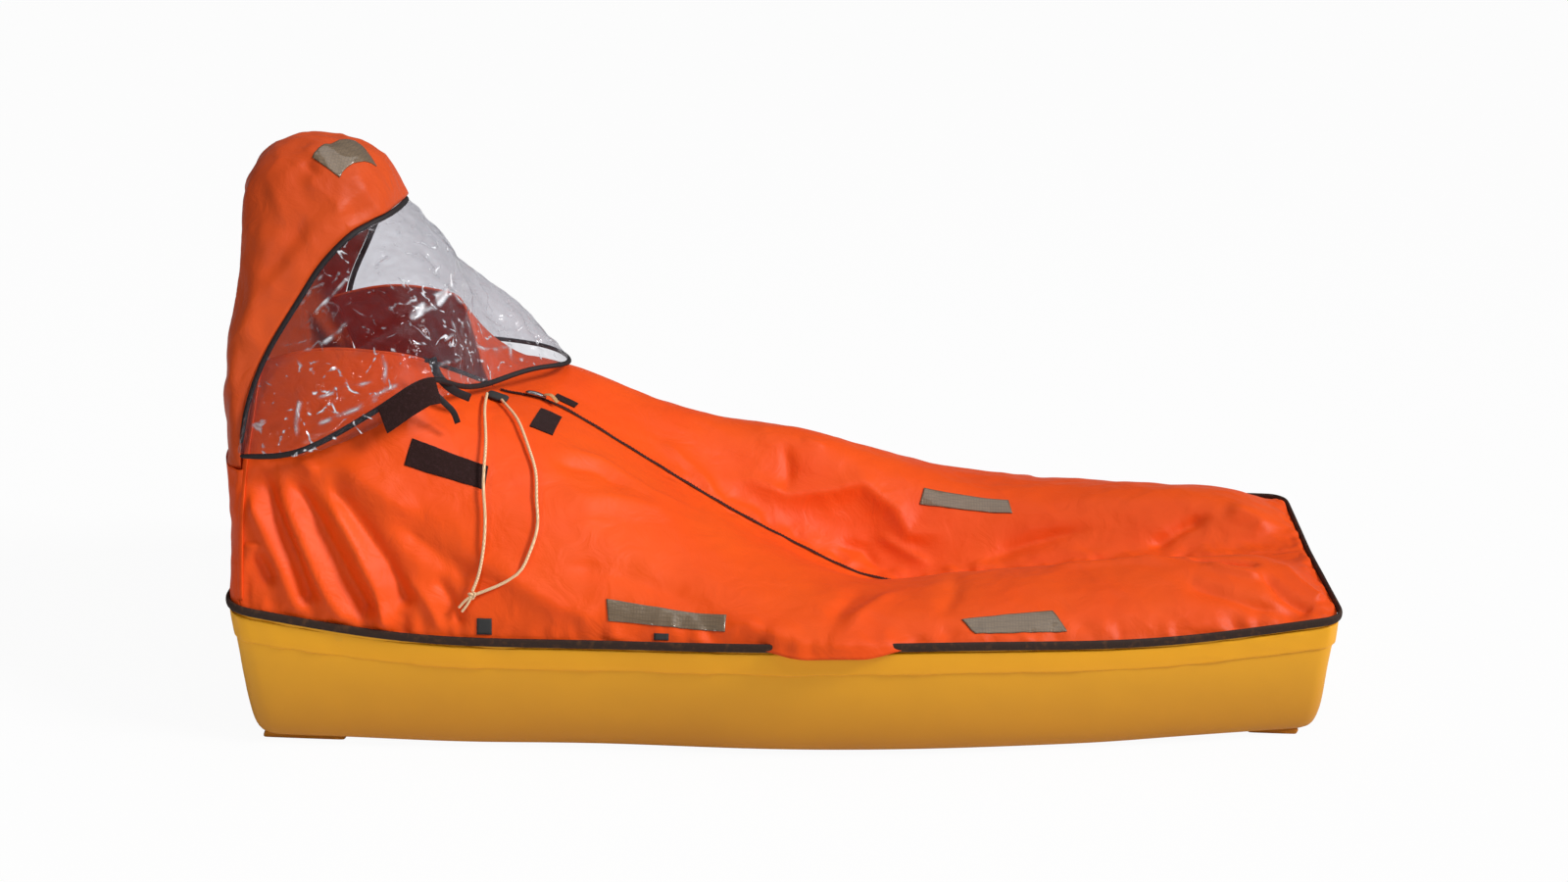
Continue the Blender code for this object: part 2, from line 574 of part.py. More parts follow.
def hood_grid(count, columns):
    """Points of the hood's outer face: ribs from the nape to the brim, each from the near arch to the far one."""
    ends = np.array([end for end, _ in HOOD_RIBS])
    crowns = np.array([crown for _, crown in HOOD_RIBS])
    at = np.linspace(0, 1, count)
    knots = lengths(np.column_stack([crowns, ends[:, 1]]))
    ends, crowns = smooth(knots, ends, at), smooth(knots, crowns, at)
    angle = np.linspace(0, math.pi, columns)
    boxy = 0.62
    rows = []
    for (x, y, z), (cx, cz) in zip(ends, crowns):
        lift = np.sin(angle) ** boxy
        across = -np.sign(np.cos(angle)) * np.abs(np.cos(angle)) ** 0.9 * y
        rows.append(np.column_stack([x + (cx - x) * lift, across, z + (cz - z) * lift]))
    return np.array(rows)


def arch_line():
    """The front edge of the hood, from its near corner over the brim to its far corner."""
    ends = np.array([end for end, _ in HOOD_RIBS])
    at = np.linspace(0, 1, HOOD_ROWS)
    crowns = np.array([crown for _, crown in HOOD_RIBS])
    ends = smooth(lengths(np.column_stack([crowns, ends[:, 1]])), ends, at)
    brim = hood_grid(HOOD_ROWS, HOOD_COLUMNS)[-1]
    return np.concatenate([ends * (1, -1, 1), brim[1:-1], ends[::-1]])


def visor_sections(count):
    """Smooth lines from the arch down to the hem, round the front of the hood."""
    arch = arch_line()
    starts = np.array([rib[0] for rib in VISOR_RIBS])
    table = np.array([rib[1:] for rib in VISOR_RIBS])
    at = np.linspace(0, 1, count)
    knots = lengths(table[:, 0])
    starts, table = smooth(knots, starts, at), smooth(knots, table, at)
    tops = np.array([along_curve(arch, start)[0] for start in starts])
    return [np.vstack([top, rest]) for top, rest in zip(tops, table)]


def visor_band(sections, start, end, columns):
    """Points of the visor's face between two distances, each from the arch if positive or from the hem if not."""
    rows = []
    for section in sections:
        size = np.linalg.norm(np.diff(section, axis=0), axis=1).sum()
        first = (start if start >= 0 else size + start) / size
        last = (end if end >= 0 else size + end) / size
        rows.append(along_curve(section, np.linspace(first, last, columns)))
    return np.array(rows)[:, ::-1]


def on_grid(grid, i, j):
    """The point between a grid's points at fractional row i and column j."""
    row, column = int(i), int(j)
    f, g = i - row, j - column
    near = grid[row, column] * (1 - f) + grid[row + 1, column] * f
    far = grid[row, column + 1] * (1 - f) + grid[row + 1, column + 1] * f
    return near * (1 - g) + far * g


def build_hood_tape(hood):
    """The reflective tape on the hood's near side, over its crown."""
    back_near, front_near, back_far, front_far = (np.array(corner) for corner in HOOD_TAPE)
    face = []
    for f in np.linspace(0, 1, 5):
        near, far = back_near * (1 - f) + front_near * f, back_far * (1 - f) + front_far * f
        face.append([on_grid(hood, *(near * (1 - g) + far * g)) for g in np.linspace(0, 1, 8)])
    face = np.array(face)
    face += normals_of(face) * (HOOD_TAPE_LIFT + HOOD_TAPE_THICKNESS)
    return shell("tape_hood", face, "reflective_tape", HOOD_TAPE_THICKNESS)


def build_visor_patch(sections):
    """The hook-and-loop strip on the visor's near hem, whose lower part hangs free below the hem."""
    sections = np.array(sections)
    first, last = VISOR_PATCH_SPAN
    face = []
    for place in (first, *range(math.ceil(first), math.ceil(last)), last):
        low = int(place)
        section = sections[low] * (low + 1 - place) + sections[low + 1] * (place - low)
        hem = section[-1]
        down = hem - along_curve(section, 0.94)[0]
        down /= np.linalg.norm(down)
        face.append([hem + down * below for below in np.linspace(VISOR_PATCH_BELOW, -VISOR_PATCH_ABOVE, 4)])
    face = np.array(face)
    face += normals_of(face) * (VISOR_PATCH_LIFT + VISOR_PATCH_THICKNESS)
    return shell("visor_patch", face, "hook_and_loop", VISOR_PATCH_THICKNESS)


def build_hood():
    """The hood with its clear visor, bindings and patches, all of which swing back about the nape."""
    hood = hood_grid(HOOD_ROWS, HOOD_COLUMNS)
    inward = -normals_of(hood)
    inward[0] = flattened(inward[0], 2)
    sections = visor_sections(VISOR_ROWS)
    film = visor_band(sections, ARCH_TAPE + TAPE_GAP, -HEM_TAPE - TAPE_GAP, 8)
    pieces = [
        shell("hood", hood, "orange_canopy_cloth", inward=inward),
        shell("visor", film, "clear_visor_film", VISOR_FILM),
        shell("visor_arch_binding", visor_band(sections, TAPE_GAP, ARCH_TAPE, 2), "dark_binding_tape", 0.005),
        shell("visor_hem_binding", visor_band(sections, -HEM_TAPE, -0.0001, 2), "dark_binding_tape", 0.004),
        build_hood_tape(hood),
        build_visor_patch(sections),
    ]
    hinge = bpy.data.objects.new("nape_axis", None)
    hinge.location = (NAPE_X + SHIFT_X, 0, NAPE_Z)
    bpy.context.scene.collection.objects.link(hinge)
    for piece in pieces:
        piece.parent = hinge
        piece.location = (-NAPE_X, 0, -NAPE_Z)


def build_patches():
    """Hook-and-loop patches, reflective tapes and the cord's keeper on the canopy."""
    for name, (side, corners, lift, thickness, slot) in PATCHES.items():
        a, b, c, d = (canopy_point(side, *corner) for corner in corners)
        rows = 2 + int(np.linalg.norm(b - a) / PATCH_STEP)
        columns = 3 + int(max(np.linalg.norm(d - a), np.linalg.norm(c - b)) / PATCH_STEP)
        face = []
        for i in np.linspace(0, 1, rows):
            low, high = d * (1 - i) + c * i, a * (1 - i) + b * i
            face.append([onto_canopy(side, low * (1 - j) + high * j) for j in np.linspace(0, 1, columns)])
        face = np.array(face)
        if side > 0:
            face = face[::-1]
        out = normals_of(face)
        shell(name, face + out * (lift + thickness), slot, thickness)


def tube_along(name, points, radius, slot):
    """A round cord as a curve object with closed ends, through a smooth line of points."""
    size = np.linalg.norm(np.diff(points, axis=0), axis=1).sum()
    count = min(80, int(size / (radius * 5)) + 1)
    line = along_curve(points, np.linspace(0, 1, count))
    curve = bpy.data.curves.new(name, "CURVE")
    curve.dimensions = "3D"
    curve.bevel_depth = radius
    curve.bevel_resolution = 2
    curve.use_fill_caps = True
    spline = curve.splines.new("POLY")
    spline.points.add(count - 1)
    for point, place in zip(spline.points, line):
        point.co = (*place, 1.0)
    curve.materials.append(material(slot))
    made = bpy.data.objects.new(name, curve)
    bpy.context.scene.collection.objects.link(made)
    made.location.x = SHIFT_X
    return made


def turned(name, start, end, profile, slot, sides=20):
    """A round piece between two points, from a list of (fraction along, radius)."""
    start, end = np.array(start, float), np.array(end, float)
    axis = (end - start) / np.linalg.norm(end - start)
    side = np.cross(axis, (0.31, 0.17, 0.93))
    side /= np.linalg.norm(side)
    other = np.cross(axis, side)
    angle = np.linspace(0, 2 * math.pi, sides, endpoint=False)[:, None]
    circle = np.cos(angle) * side + np.sin(angle) * other
    rows = [start + (end - start) * f + circle * radius for f, radius in profile]
    return bar(name, np.array(rows), slot)


def build_drawstring():
    """The drawstring's two strands and the knot that joins them."""
    for name, route in STRANDS.items():
        tube_along(name, np.array(route), CORD_RADIUS, "cream_cord")
    knot, tail = np.array(KNOT), np.array(TAIL_END)
    along = (tail - knot) / np.linalg.norm(tail - knot)
    start = knot - along * KNOT_RADIUS
    size = np.linalg.norm(tail - start)
    ball = [(KNOT_RADIUS * (1 - math.cos(a)) / size, KNOT_RADIUS * math.sin(a)) for a in np.linspace(0.5, 2.7, 8)]
    turned("drawstring_knot", start, tail, ball + [(0.75, 0.0026), (1.0, 0.0026)], "cream_cord", 12)


def build_zip():
    """The zip along the canopy's middle and its slider."""
    xs = np.array([x for x in canopy_stations() if ZIP_START_X <= x <= ZIP_END_X])
    middle = np.array([canopy_point(-1, x, 1.0) for x in xs])
    middle[:, 1] = 0
    slope = np.gradient(middle, axis=0)
    up = np.stack([-slope[:, 2], np.zeros(len(xs)), slope[:, 0]], axis=1)
    up /= np.linalg.norm(up, axis=1, keepdims=True)
    side = np.array([0, ZIP_WIDTH / 2, 0])
    low, high = middle + up * ZIP_LIFT, middle + up * (ZIP_LIFT + ZIP_THICKNESS)
    bar("zip_chain", np.stack([low - side, low + side, high + side, high - side], axis=1), "zip_tape")
    i = int(np.argmin(np.abs(xs - SLIDER_X)))
    along = slope[i] / np.linalg.norm(slope[i])
    seat = high[i] + up[i] * GAP
    ends = []
    for f, width, height in ((-0.014, 0.004, 0.003), (-0.006, 0.005, 0.006), (0.010, 0.005, 0.006), (0.024, 0.003, 0.002)):
        centre = seat + along * f
        wide = np.array([0, width, 0])
        ends.append([centre - wide, centre + wide, centre + wide + up[i] * height, centre - wide + up[i] * height])
    bar("zip_slider", np.array(ends), "bare_metal")


def box(name, low, high, slot, bevel=0.0):
    """A box between two corners, with its edges rounded if a bevel is given."""
    low, high = np.array(low), np.array(high)
    corners = [(low[0], low[1]), (high[0], low[1]), (high[0], high[1]), (low[0], high[1])]
    grid = np.array([[(x, y, z) for x, y in corners] for z in (low[2], high[2])])
    made = bar(name, grid, slot)
    if bevel:
        rounding = made.modifiers.new("rounding", "BEVEL")
        rounding.width = bevel
        rounding.segments = 2
    return made


def build_fittings():
    """Tabs, ballast pockets, gas bottle, mouth tube and tow loop."""
    for side, word in ((-1, "near"), (1, "far")):
        for number, (x, height) in enumerate(zip(TAB_X, TAB_HEIGHTS), 1):
            tops = []
            for at in (x - TAB_WIDTH / 2, x + TAB_WIDTH / 2):
                low = gunwale_height(at)[0] + TRIM_HEIGHT - 0.0041
                points = []
                for rise in (0.0, height):
                    t = (low + rise - gunwale_height(at)[0]) / 0.42
                    spot = canopy_point(side, at, t)
                    points.append(spot + (0, side * GAP, 0))
                low_in, high_in = points
                out = np.array([0, side * 0.0022, 0])
                tops.append([low_in, low_in + out, high_in + out, high_in])
            bar(f"gunwale_tab_{word}_{number}", np.array(tops), "black_webbing")
        for name, (xs, ys) in POCKETS.items():
            near, far = sorted((side * ys[0], side * ys[1]))
            box(f"{name}_{word}", (xs[0], near, 0), (xs[1], far, POCKET_THICKNESS), "ballast_cloth", 0.003)

    loop = gunwale_loop()
    wall = wall_line(loop, 0)
    band_radius = BOTTLE_RADIUS + GAP + BAND_THICKNESS
    axis_x = float(np.interp(BOTTLE_Z, wall[:, 2], wall[:, 0])) - band_radius * 1.014 - 0.0001
    start, end = (axis_x, -BOTTLE_HALF, BOTTLE_Z), (axis_x, BOTTLE_HALF, BOTTLE_Z)
    dome = [(0.06 * (1 - math.cos(a)), BOTTLE_RADIUS * math.sin(a)) for a in np.linspace(0.25, math.pi / 2, 6)]
    neck = [(0.90, BOTTLE_RADIUS), (0.94, BOTTLE_RADIUS * 0.85), (0.965, 0.010), (1.0, 0.009)]
    turned("gas_bottle", start, end, dome + neck, "bare_metal")
    valve = 0.012
    box("inflation_valve", (axis_x - valve, BOTTLE_HALF + GAP, BOTTLE_Z - valve),
        (axis_x + valve, BOTTLE_HALF + 0.034, BOTTLE_Z + valve), "bare_metal", 0.003)
    for word, y in (("near", -BAND_Y), ("far", BAND_Y)):
        angle = np.linspace(0, 2 * math.pi, 24, endpoint=False)
        inner, outer = BOTTLE_RADIUS + GAP, band_radius
        rows = []
        for a in angle:
            out = np.array([math.cos(a), 0, math.sin(a)])
            centre = np.array([axis_x, y, BOTTLE_Z])
            wide = np.array([0, BAND_WIDTH / 2, 0])
            rows.append([centre + out * inner - wide, centre + out * outer - wide,
                         centre + out * outer + wide, centre + out * inner + wide])
        ring(f"bottle_band_{word}", np.array(rows), "black_webbing")

    beside = int(np.argmin(np.abs(loop[0][:, 0] - MOUTH_TUBE_X[0]) + (loop[0][:, 1] < 0)))
    wall = wall_line(loop, beside)
    tube_y = float(np.interp(MOUTH_TUBE_Z, wall[:, 2], wall[:, 1])) + MOUTH_TUBE_RADIUS + 0.0010
    turned("mouth_tube", (MOUTH_TUBE_X[0], tube_y, MOUTH_TUBE_Z), (MOUTH_TUBE_X[1], tube_y, MOUTH_TUBE_Z),
           [(0, 0.005), (0.04, MOUTH_TUBE_RADIUS), (0.7, MOUTH_TUBE_RADIUS), (0.72, 0.0055), (1, 0.0055)],
           "black_rubber", 16)

    wall = wall_line(loop, len(near_half()) - 1)
    seat = []
    for z in (LOOP_Z - 0.022, LOOP_Z + 0.022):
        seat.append(np.array([float(np.interp(z, wall[:, 2], wall[:, 0])) + 0.0012, 0, z]))
    up = (seat[1] - seat[0]) / np.linalg.norm(seat[1] - seat[0])
    out = np.array([up[2], 0, -up[0]])
    wide = np.array([0, LOOP_WIDTH / 2 + 0.006, 0])
    plate = [[p - wide, p + wide, p + wide + out * 0.002, p - wide + out * 0.002] for p in seat]
    bar("tow_patch", np.array(plate), "yellow_strip")
    middle = (seat[0] + seat[1]) / 2 + out * (0.002 + GAP)
    wide = np.array([0, LOOP_WIDTH / 2, 0])
    rows = []
    for a in np.linspace(0, math.pi, 13):
        line = middle + up * (-0.017 * math.cos(a)) + out * (0.014 * math.sin(a))
        inside = middle + up * (-0.0145 * math.cos(a)) + out * (0.0115 * math.sin(a))
        rows.append([line - wide, line + wide, inside + wide, inside - wide])
    bar("tow_loop", np.array(rows), "black_webbing")


def wall_line(loop, index):
    """Points of the outer wall at one place round the hull, at rising heights."""
    heights = np.linspace(0.15, 0.86, 12)
    fractions = np.interp(heights, [h for _, h in TUBE_SECTION[5::-1]], [f for f, _ in TUBE_SECTION[5::-1]])
    return np.array([hull_point(loop, f, h)[index] for f, h in zip(fractions, heights)])


def main():
    for old in list(bpy.data.objects):
        bpy.data.objects.remove(old, do_unlink=True)
    build_hull()
    build_canopy_side("canopy_side_near", -1)
    build_canopy_side("canopy_side_far", 1)
    build_canopy_back()
    build_hood()
    build_patches()
    build_zip()
    build_drawstring()
    build_fittings()


main()
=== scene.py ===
"""The looks of a single-seat inflatable life raft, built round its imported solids.

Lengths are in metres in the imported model's frame: +X runs to the foot end, -Y is the side with the
drawstring and +Z is up.
"""

import json
import logging
import math
from collections.abc import Iterable, Sequence
from dataclasses import dataclass, field
from enum import Enum
from itertools import product

import bmesh
import bpy
import numpy as np
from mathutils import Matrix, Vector, noise
from mathutils.bvhtree import BVHTree

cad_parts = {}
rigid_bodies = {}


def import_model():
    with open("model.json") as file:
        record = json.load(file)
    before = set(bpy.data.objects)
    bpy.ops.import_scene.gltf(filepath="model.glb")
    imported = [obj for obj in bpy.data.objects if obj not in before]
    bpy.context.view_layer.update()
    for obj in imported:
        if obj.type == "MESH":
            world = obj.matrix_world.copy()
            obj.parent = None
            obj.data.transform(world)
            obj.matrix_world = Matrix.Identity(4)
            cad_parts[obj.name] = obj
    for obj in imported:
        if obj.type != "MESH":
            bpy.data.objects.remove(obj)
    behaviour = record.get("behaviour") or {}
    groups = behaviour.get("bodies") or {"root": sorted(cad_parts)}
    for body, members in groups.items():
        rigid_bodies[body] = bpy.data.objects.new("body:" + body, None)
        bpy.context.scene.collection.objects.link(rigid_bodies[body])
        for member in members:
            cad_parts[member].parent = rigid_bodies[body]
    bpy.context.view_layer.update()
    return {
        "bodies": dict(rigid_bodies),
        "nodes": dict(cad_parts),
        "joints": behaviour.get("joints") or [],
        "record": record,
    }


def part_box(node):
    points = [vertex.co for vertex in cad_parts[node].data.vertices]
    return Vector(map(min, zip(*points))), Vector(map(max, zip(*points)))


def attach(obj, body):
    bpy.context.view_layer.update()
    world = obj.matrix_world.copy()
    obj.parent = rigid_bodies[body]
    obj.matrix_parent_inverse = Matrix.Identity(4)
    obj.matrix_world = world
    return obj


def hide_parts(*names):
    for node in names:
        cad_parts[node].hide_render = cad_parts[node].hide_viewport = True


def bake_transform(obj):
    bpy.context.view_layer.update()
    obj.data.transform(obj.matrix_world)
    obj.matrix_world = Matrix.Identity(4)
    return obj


LOG = logging.getLogger("life_raft")
Point = tuple[float, float, float]
Line = tuple[Point, ...]

RAFT = "raft"
HOOD = "hood_and_visor"


class Side(Enum):
    """The two sides of the raft: the near one has the drawstring."""

    NEAR = -1
    FAR = 1


# ---- Finishes ----


def linear(hex_colour: str) -> tuple[float, float, float, float]:
    """Turns an sRGB hex colour to linear RGBA.

    Args:
        hex_colour: The colour as "#RRGGBB".

    Returns:
        Its red, green, blue and alpha, linear.
    """
    parts = [int(hex_colour[i : i + 2], 16) / 255 for i in (1, 3, 5)]
    return (*(c / 12.92 if c <= 0.04045 else ((c + 0.055) / 1.055) ** 2.4 for c in parts), 1.0)


def add_node(tree: bpy.types.NodeTree, kind: str, settings: dict | None = None,
             links: dict | None = None) -> bpy.types.Node:
    """Adds a shader node with its settings and links.

    Args:
        tree: The material's node tree.
        kind: Blender's name for the node.
        settings: Values by socket (name or number) or by the node's own property.
        links: Output sockets by the name or number of the input that they feed.

    Returns:
        The node.
    """
    made = tree.nodes.new(kind)
    for name, value in (settings or {}).items():
        if isinstance(name, int) or name in made.inputs:
            made.inputs[name].default_value = value
        else:
            setattr(made, name, value)
    for name, source in (links or {}).items():
        tree.links.new(source, made.inputs[name])
    return made


@dataclass(frozen=True)
class Finish:
    """A surface finish: its name, its colour in sRGB hex and its roughness."""

    name: str
    colour: str
    roughness: float

    def material(self) -> bpy.types.Material:
        """Returns the finish's material, made on first use."""
        found = bpy.data.materials.get(self.name)
        if found:
            return found
        made = bpy.data.materials.new(self.name)
        made.use_nodes = True
        tree = made.node_tree
        shader = tree.nodes["Principled BSDF"]
        shader.inputs["Base Color"].default_value = linear(self.colour)
        shader.inputs["Roughness"].default_value = self.roughness
        self.weave(tree, shader)
        return made

    def weave(self, tree: bpy.types.NodeTree, shader: bpy.types.Node) -> None:
        """Adds the pattern, sheen and relief that the finish has; a bare one has none.

        Args:
            tree: The material's node tree.
            shader: Its main shader.
        """

    def tint(self, tree: bpy.types.NodeTree, shader: bpy.types.Node, source: bpy.types.NodeSocket, low: str,
             high: str) -> None:
        """Links a colour that runs from low to high with a source between 0 and 1.

        Args:
            tree: The material's node tree.
            shader: The node whose base colour it sets.
            source: The output socket that is read.
            low: The hex colour at 0.
            high: The hex colour at 1.
        """
        mix = add_node(tree, "ShaderNodeMix", {"data_type": "RGBA"}, {0: source})
        mix.inputs[6].default_value = linear(low)
        mix.inputs[7].default_value = linear(high)
        tree.links.new(mix.outputs[2], shader.inputs["Base Color"])

    def relief(self, tree: bpy.types.NodeTree, shader: bpy.types.Node, height: bpy.types.NodeSocket, strength: float,
               distance: float) -> None:
        """Links a bump of this height field, whose distance is in metres.

        Args:
            tree: The material's node tree.
            shader: The node that takes the normal.
            height: The output socket with the height, from 0 to 1.
            strength: How much of the bump is used.
            distance: The bump's depth.
        """
        bump = add_node(tree, "ShaderNodeBump", {"Strength": strength, "Distance": distance}, {"Height": height})
        before = shader.inputs["Normal"]
        if before.is_linked:
            tree.links.new(before.links[0].from_socket, bump.inputs["Normal"])
        tree.links.new(bump.outputs[0], before)


def scaled_place(tree: bpy.types.NodeTree, scale: Point = (1, 1, 1)) -> bpy.types.NodeSocket:
    """The place on the piece in metres, times a scale along each axis.

    Args:
        tree: The material's node tree.
        scale: The scale along each axis.

    Returns:
        The output socket with the place.
    """
    place = add_node(tree, "ShaderNodeTexCoord")
    return add_node(tree, "ShaderNodeMapping", {"Scale": scale}, {"Vector": place.outputs["Object"]}).outputs[0]


@dataclass(frozen=True)
class ProofedNylon(Finish):
    """Thin proofed nylon: a close plain weave with a soft sheen, which crumples in small creases.

    The thread spacing is 0.3 mm, drawn at 1.6 mm so that it shows. The dye is a little uneven.
    """

    deep: str = "#EA480C"
    thread: float = 0.0016
    crease: float = 0.055

    def weave(self, tree: bpy.types.NodeTree, shader: bpy.types.Node) -> None:
        """Adds the uneven dye, the crumple and the weave.

        Args:
            tree: The material's node tree.
            shader: Its main shader.
        """
        shader.inputs["Specular IOR Level"].default_value = 0.22
        shader.inputs["Sheen Weight"].default_value = 0.02
        shader.inputs["Sheen Roughness"].default_value = 0.4
        dye = add_node(tree, "ShaderNodeTexNoise", {"Scale": 6.0, "Detail": 3.0},
                       {"Vector": scaled_place(tree)})
        self.tint(tree, shader, dye.outputs["Fac"], self.deep, self.colour)
        crumple = add_node(tree, "ShaderNodeTexNoise",
                           {"Scale": 1 / self.crease, "Detail": 4.0, "Roughness": 0.55, "Distortion": 0.8},
                           {"Vector": scaled_place(tree)})
        self.relief(tree, shader, crumple.outputs["Fac"], 0.55, 0.006)
        threads = add_node(tree, "ShaderNodeTexWave", {"Scale": 0.314 / self.thread, "Distortion": 0.4},
                           {"Vector": scaled_place(tree)})
        self.relief(tree, shader, threads.outputs["Fac"], 0.08, 0.0002)


@dataclass(frozen=True)
class CoatedFabric(Finish):
    """Rubber-coated nylon, calendered smooth: a satin skin, darker towards its bottom edge with painted shade."""

    # Painted shade: deep is the bottom colour; it fades to the fabric's colour between heights low and high.
    deep: str = "#C98420"
    low: float = 0.03
    high: float = 0.21

    def weave(self, tree: bpy.types.NodeTree, shader: bpy.types.Node) -> None:
        """Adds the painted shade at the bottom edge, made uneven by cloudy noise, and the fine cloth under the
        coating.

        Args:
            tree: The material's node tree.
            shader: Its main shader.
        """
        shader.inputs["Coat Weight"].default_value = 0.05
        shader.inputs["Specular IOR Level"].default_value = 0.3
        shader.inputs["Coat Roughness"].default_value = 0.35
        place = scaled_place(tree)
        split = add_node(tree, "ShaderNodeSeparateXYZ", {}, {0: place})
        clouds = add_node(tree, "ShaderNodeTexNoise", {"Scale": 5.0, "Detail": 4.0}, {"Vector": place})
        shifted = add_node(tree, "ShaderNodeMath", {"operation": "MULTIPLY_ADD", 1: 0.05},
                           {0: clouds.outputs["Fac"], 2: split.outputs[2]})
        # Painted shade: darker towards the bottom, where the tube's lower side turns away from the light.
        rise = add_node(tree, "ShaderNodeMapRange", {"From Min": self.low, "From Max": self.high},
                        {"Value": shifted.outputs[0]})
        self.tint(tree, shader, rise.outputs[0], self.deep, self.colour)
        cloth = add_node(tree, "ShaderNodeTexNoise", {"Scale": 420.0, "Detail": 2.0}, {"Vector": place})
        self.relief(tree, shader, cloth.outputs["Fac"], 0.06, 0.0006)
        dents = add_node(tree, "ShaderNodeTexNoise", {"Scale": 11.0, "Detail": 2.0}, {"Vector": place})
        self.relief(tree, shader, dents.outputs["Fac"], 0.18, 0.008)


@dataclass(frozen=True)
class WovenTape(Finish):
    """Woven tape or webbing: ribs across its length, a little worn to a lighter shade on the ribs.

    The rib spacing is 1 mm, drawn at 2.5 mm so that it shows.
    """

    worn: str = "#6A4A34"
    rib: float = 0.0025

    def weave(self, tree: bpy.types.NodeTree, shader: bpy.types.Node) -> None:
        """Adds the ribs and the wear.

        Args:
            tree: The material's node tree.
            shader: Its main shader.
        """
        place = scaled_place(tree)
        ribs = add_node(tree, "ShaderNodeTexWave", {"Scale": 0.314 / self.rib, "Distortion": 1.0, "Detail": 2.0},
                        {"Vector": place})
        self.relief(tree, shader, ribs.outputs["Fac"], 0.35, 0.0005)
        wear = add_node(tree, "ShaderNodeTexNoise", {"Scale": 90.0, "Detail": 5.0}, {"Vector": place})
        rare = add_node(tree, "ShaderNodeMapRange", {"From Min": 0.52, "From Max": 0.85}, {"Value": wear.outputs[0]})
        self.tint(tree, shader, rare.outputs[0], self.colour, self.worn)


@dataclass(frozen=True)
class LoopPile(Finish):
    """Hook-and-loop pile: matt, dark and fuzzy, with loops 2 mm apart and lint that catches the light."""

    lint: str = "#40282B"

    def weave(self, tree: bpy.types.NodeTree, shader: bpy.types.Node) -> None:
        """Adds the loops and the lint.

        Args:
            tree: The material's node tree.
            shader: Its main shader.
        """
        shader.inputs["Specular IOR Level"].default_value = 0.1
        shader.inputs["Sheen Weight"].default_value = 0.05
        shader.inputs["Sheen Roughness"].default_value = 0.6
        place = scaled_place(tree)
        loops = add_node(tree, "ShaderNodeTexVoronoi", {"Scale": 520.0}, {"Vector": place})
        self.relief(tree, shader, loops.outputs["Distance"], 0.8, 0.0012)
        lint = add_node(tree, "ShaderNodeTexNoise", {"Scale": 160.0, "Detail": 6.0, "Roughness": 0.7},
                        {"Vector": place})
        rare = add_node(tree, "ShaderNodeMapRange", {"From Min": 0.5, "From Max": 0.8}, {"Value": lint.outputs[0]})
        self.tint(tree, shader, rare.outputs[0], self.colour, self.lint)


@dataclass(frozen=True)
class RetroTape(Finish):
    """Encapsulated retroreflective tape: a grid of sealed cells under a clear grey top film.

    The cells are 3.5 mm across, drawn at 5 mm so that they show.
    """

    seam: str = "#665543"
    cell: float = 0.005

    def weave(self, tree: bpy.types.NodeTree, shader: bpy.types.Node) -> None:
        """Adds the cells, their sealed seams and the glossy film.

        Args:
            tree: The material's node tree.
            shader: Its main shader.
        """
        shader.inputs["Coat Weight"].default_value = 0.9
        shader.inputs["Coat Roughness"].default_value = 0.08
        shader.inputs["Metallic"].default_value = 0.12
        place = scaled_place(tree)
        cells = add_node(tree, "ShaderNodeTexVoronoi",
                         {"Scale": 1 / self.cell, "feature": "F1", "distance": "CHEBYCHEV", "Randomness": 0.0},
                         {"Vector": place})
        seams = add_node(tree, "ShaderNodeMapRange", {"From Min": 0.5, "From Max": 0.38},
                         {"Value": cells.outputs["Distance"]})
        self.tint(tree, shader, seams.outputs[0], self.seam, self.colour)
        self.relief(tree, shader, seams.outputs[0], 0.4, 0.0005)
        crinkle = add_node(tree, "ShaderNodeTexNoise", {"Scale": 40.0, "Detail": 3.0}, {"Vector": place})
        self.relief(tree, shader, crinkle.outputs["Fac"], 0.5, 0.004)


@dataclass(frozen=True)
class BraidedCord(Finish):
    """Braided polyester cord: two sets of strands that cross at a slant, about 1.5 mm wide."""

    # The colour of the painted shade in the grooves between strands.
    shade: str = "#D9A877"

    def weave(self, tree: bpy.types.NodeTree, shader: bpy.types.Node) -> None:
        """Adds the crossing strands, with painted shade where one set dips.

        Args:
            tree: The material's node tree.
            shader: Its main shader.
        """
        for turn in (0.8, -0.8):
            place = add_node(tree, "ShaderNodeTexCoord")
            turned = add_node(tree, "ShaderNodeMapping", {"Rotation": (turn, turn, 0.0)},
                              {"Vector": place.outputs["Object"]})
            strands = add_node(tree, "ShaderNodeTexWave", {"Scale": 200.0, "bands_direction": "Z"},
                               {"Vector": turned.outputs[0]})
            self.relief(tree, shader, strands.outputs["Fac"], 0.4, 0.0006)
        # Painted shade: where one set of strands dips, the cord is darker.
        self.tint(tree, shader, strands.outputs["Fac"], self.shade, self.colour)


@dataclass(frozen=True)
class SatinMetal(Finish):
    """Spun and lacquered metal: even satin with faint turning marks, about 1 mm apart."""

    def weave(self, tree: bpy.types.NodeTree, shader: bpy.types.Node) -> None:
        """Adds the turning marks.

        Args:
            tree: The material's node tree.
            shader: Its main shader.
        """
        shader.inputs["Metallic"].default_value = 1.0
        marks = add_node(tree, "ShaderNodeTexNoise", {"Scale": 1.0, "Detail": 3.0},
                         {"Vector": scaled_place(tree, (30, 900, 30))})
        self.relief(tree, shader, marks.outputs["Fac"], 0.15, 0.0003)


@dataclass(frozen=True)
class MouldedRubber(Finish):
    """Moulded rubber or nylon: matt and dark, with a light grain of about 1.5 mm."""

    def weave(self, tree: bpy.types.NodeTree, shader: bpy.types.Node) -> None:
        """Adds the grain.

        Args:
            tree: The material's node tree.
            shader: Its main shader.
        """
        grain = add_node(tree, "ShaderNodeTexNoise", {"Scale": 700.0, "Detail": 2.0},
                         {"Vector": scaled_place(tree)})
        self.relief(tree, shader, grain.outputs["Fac"], 0.25, 0.0004)


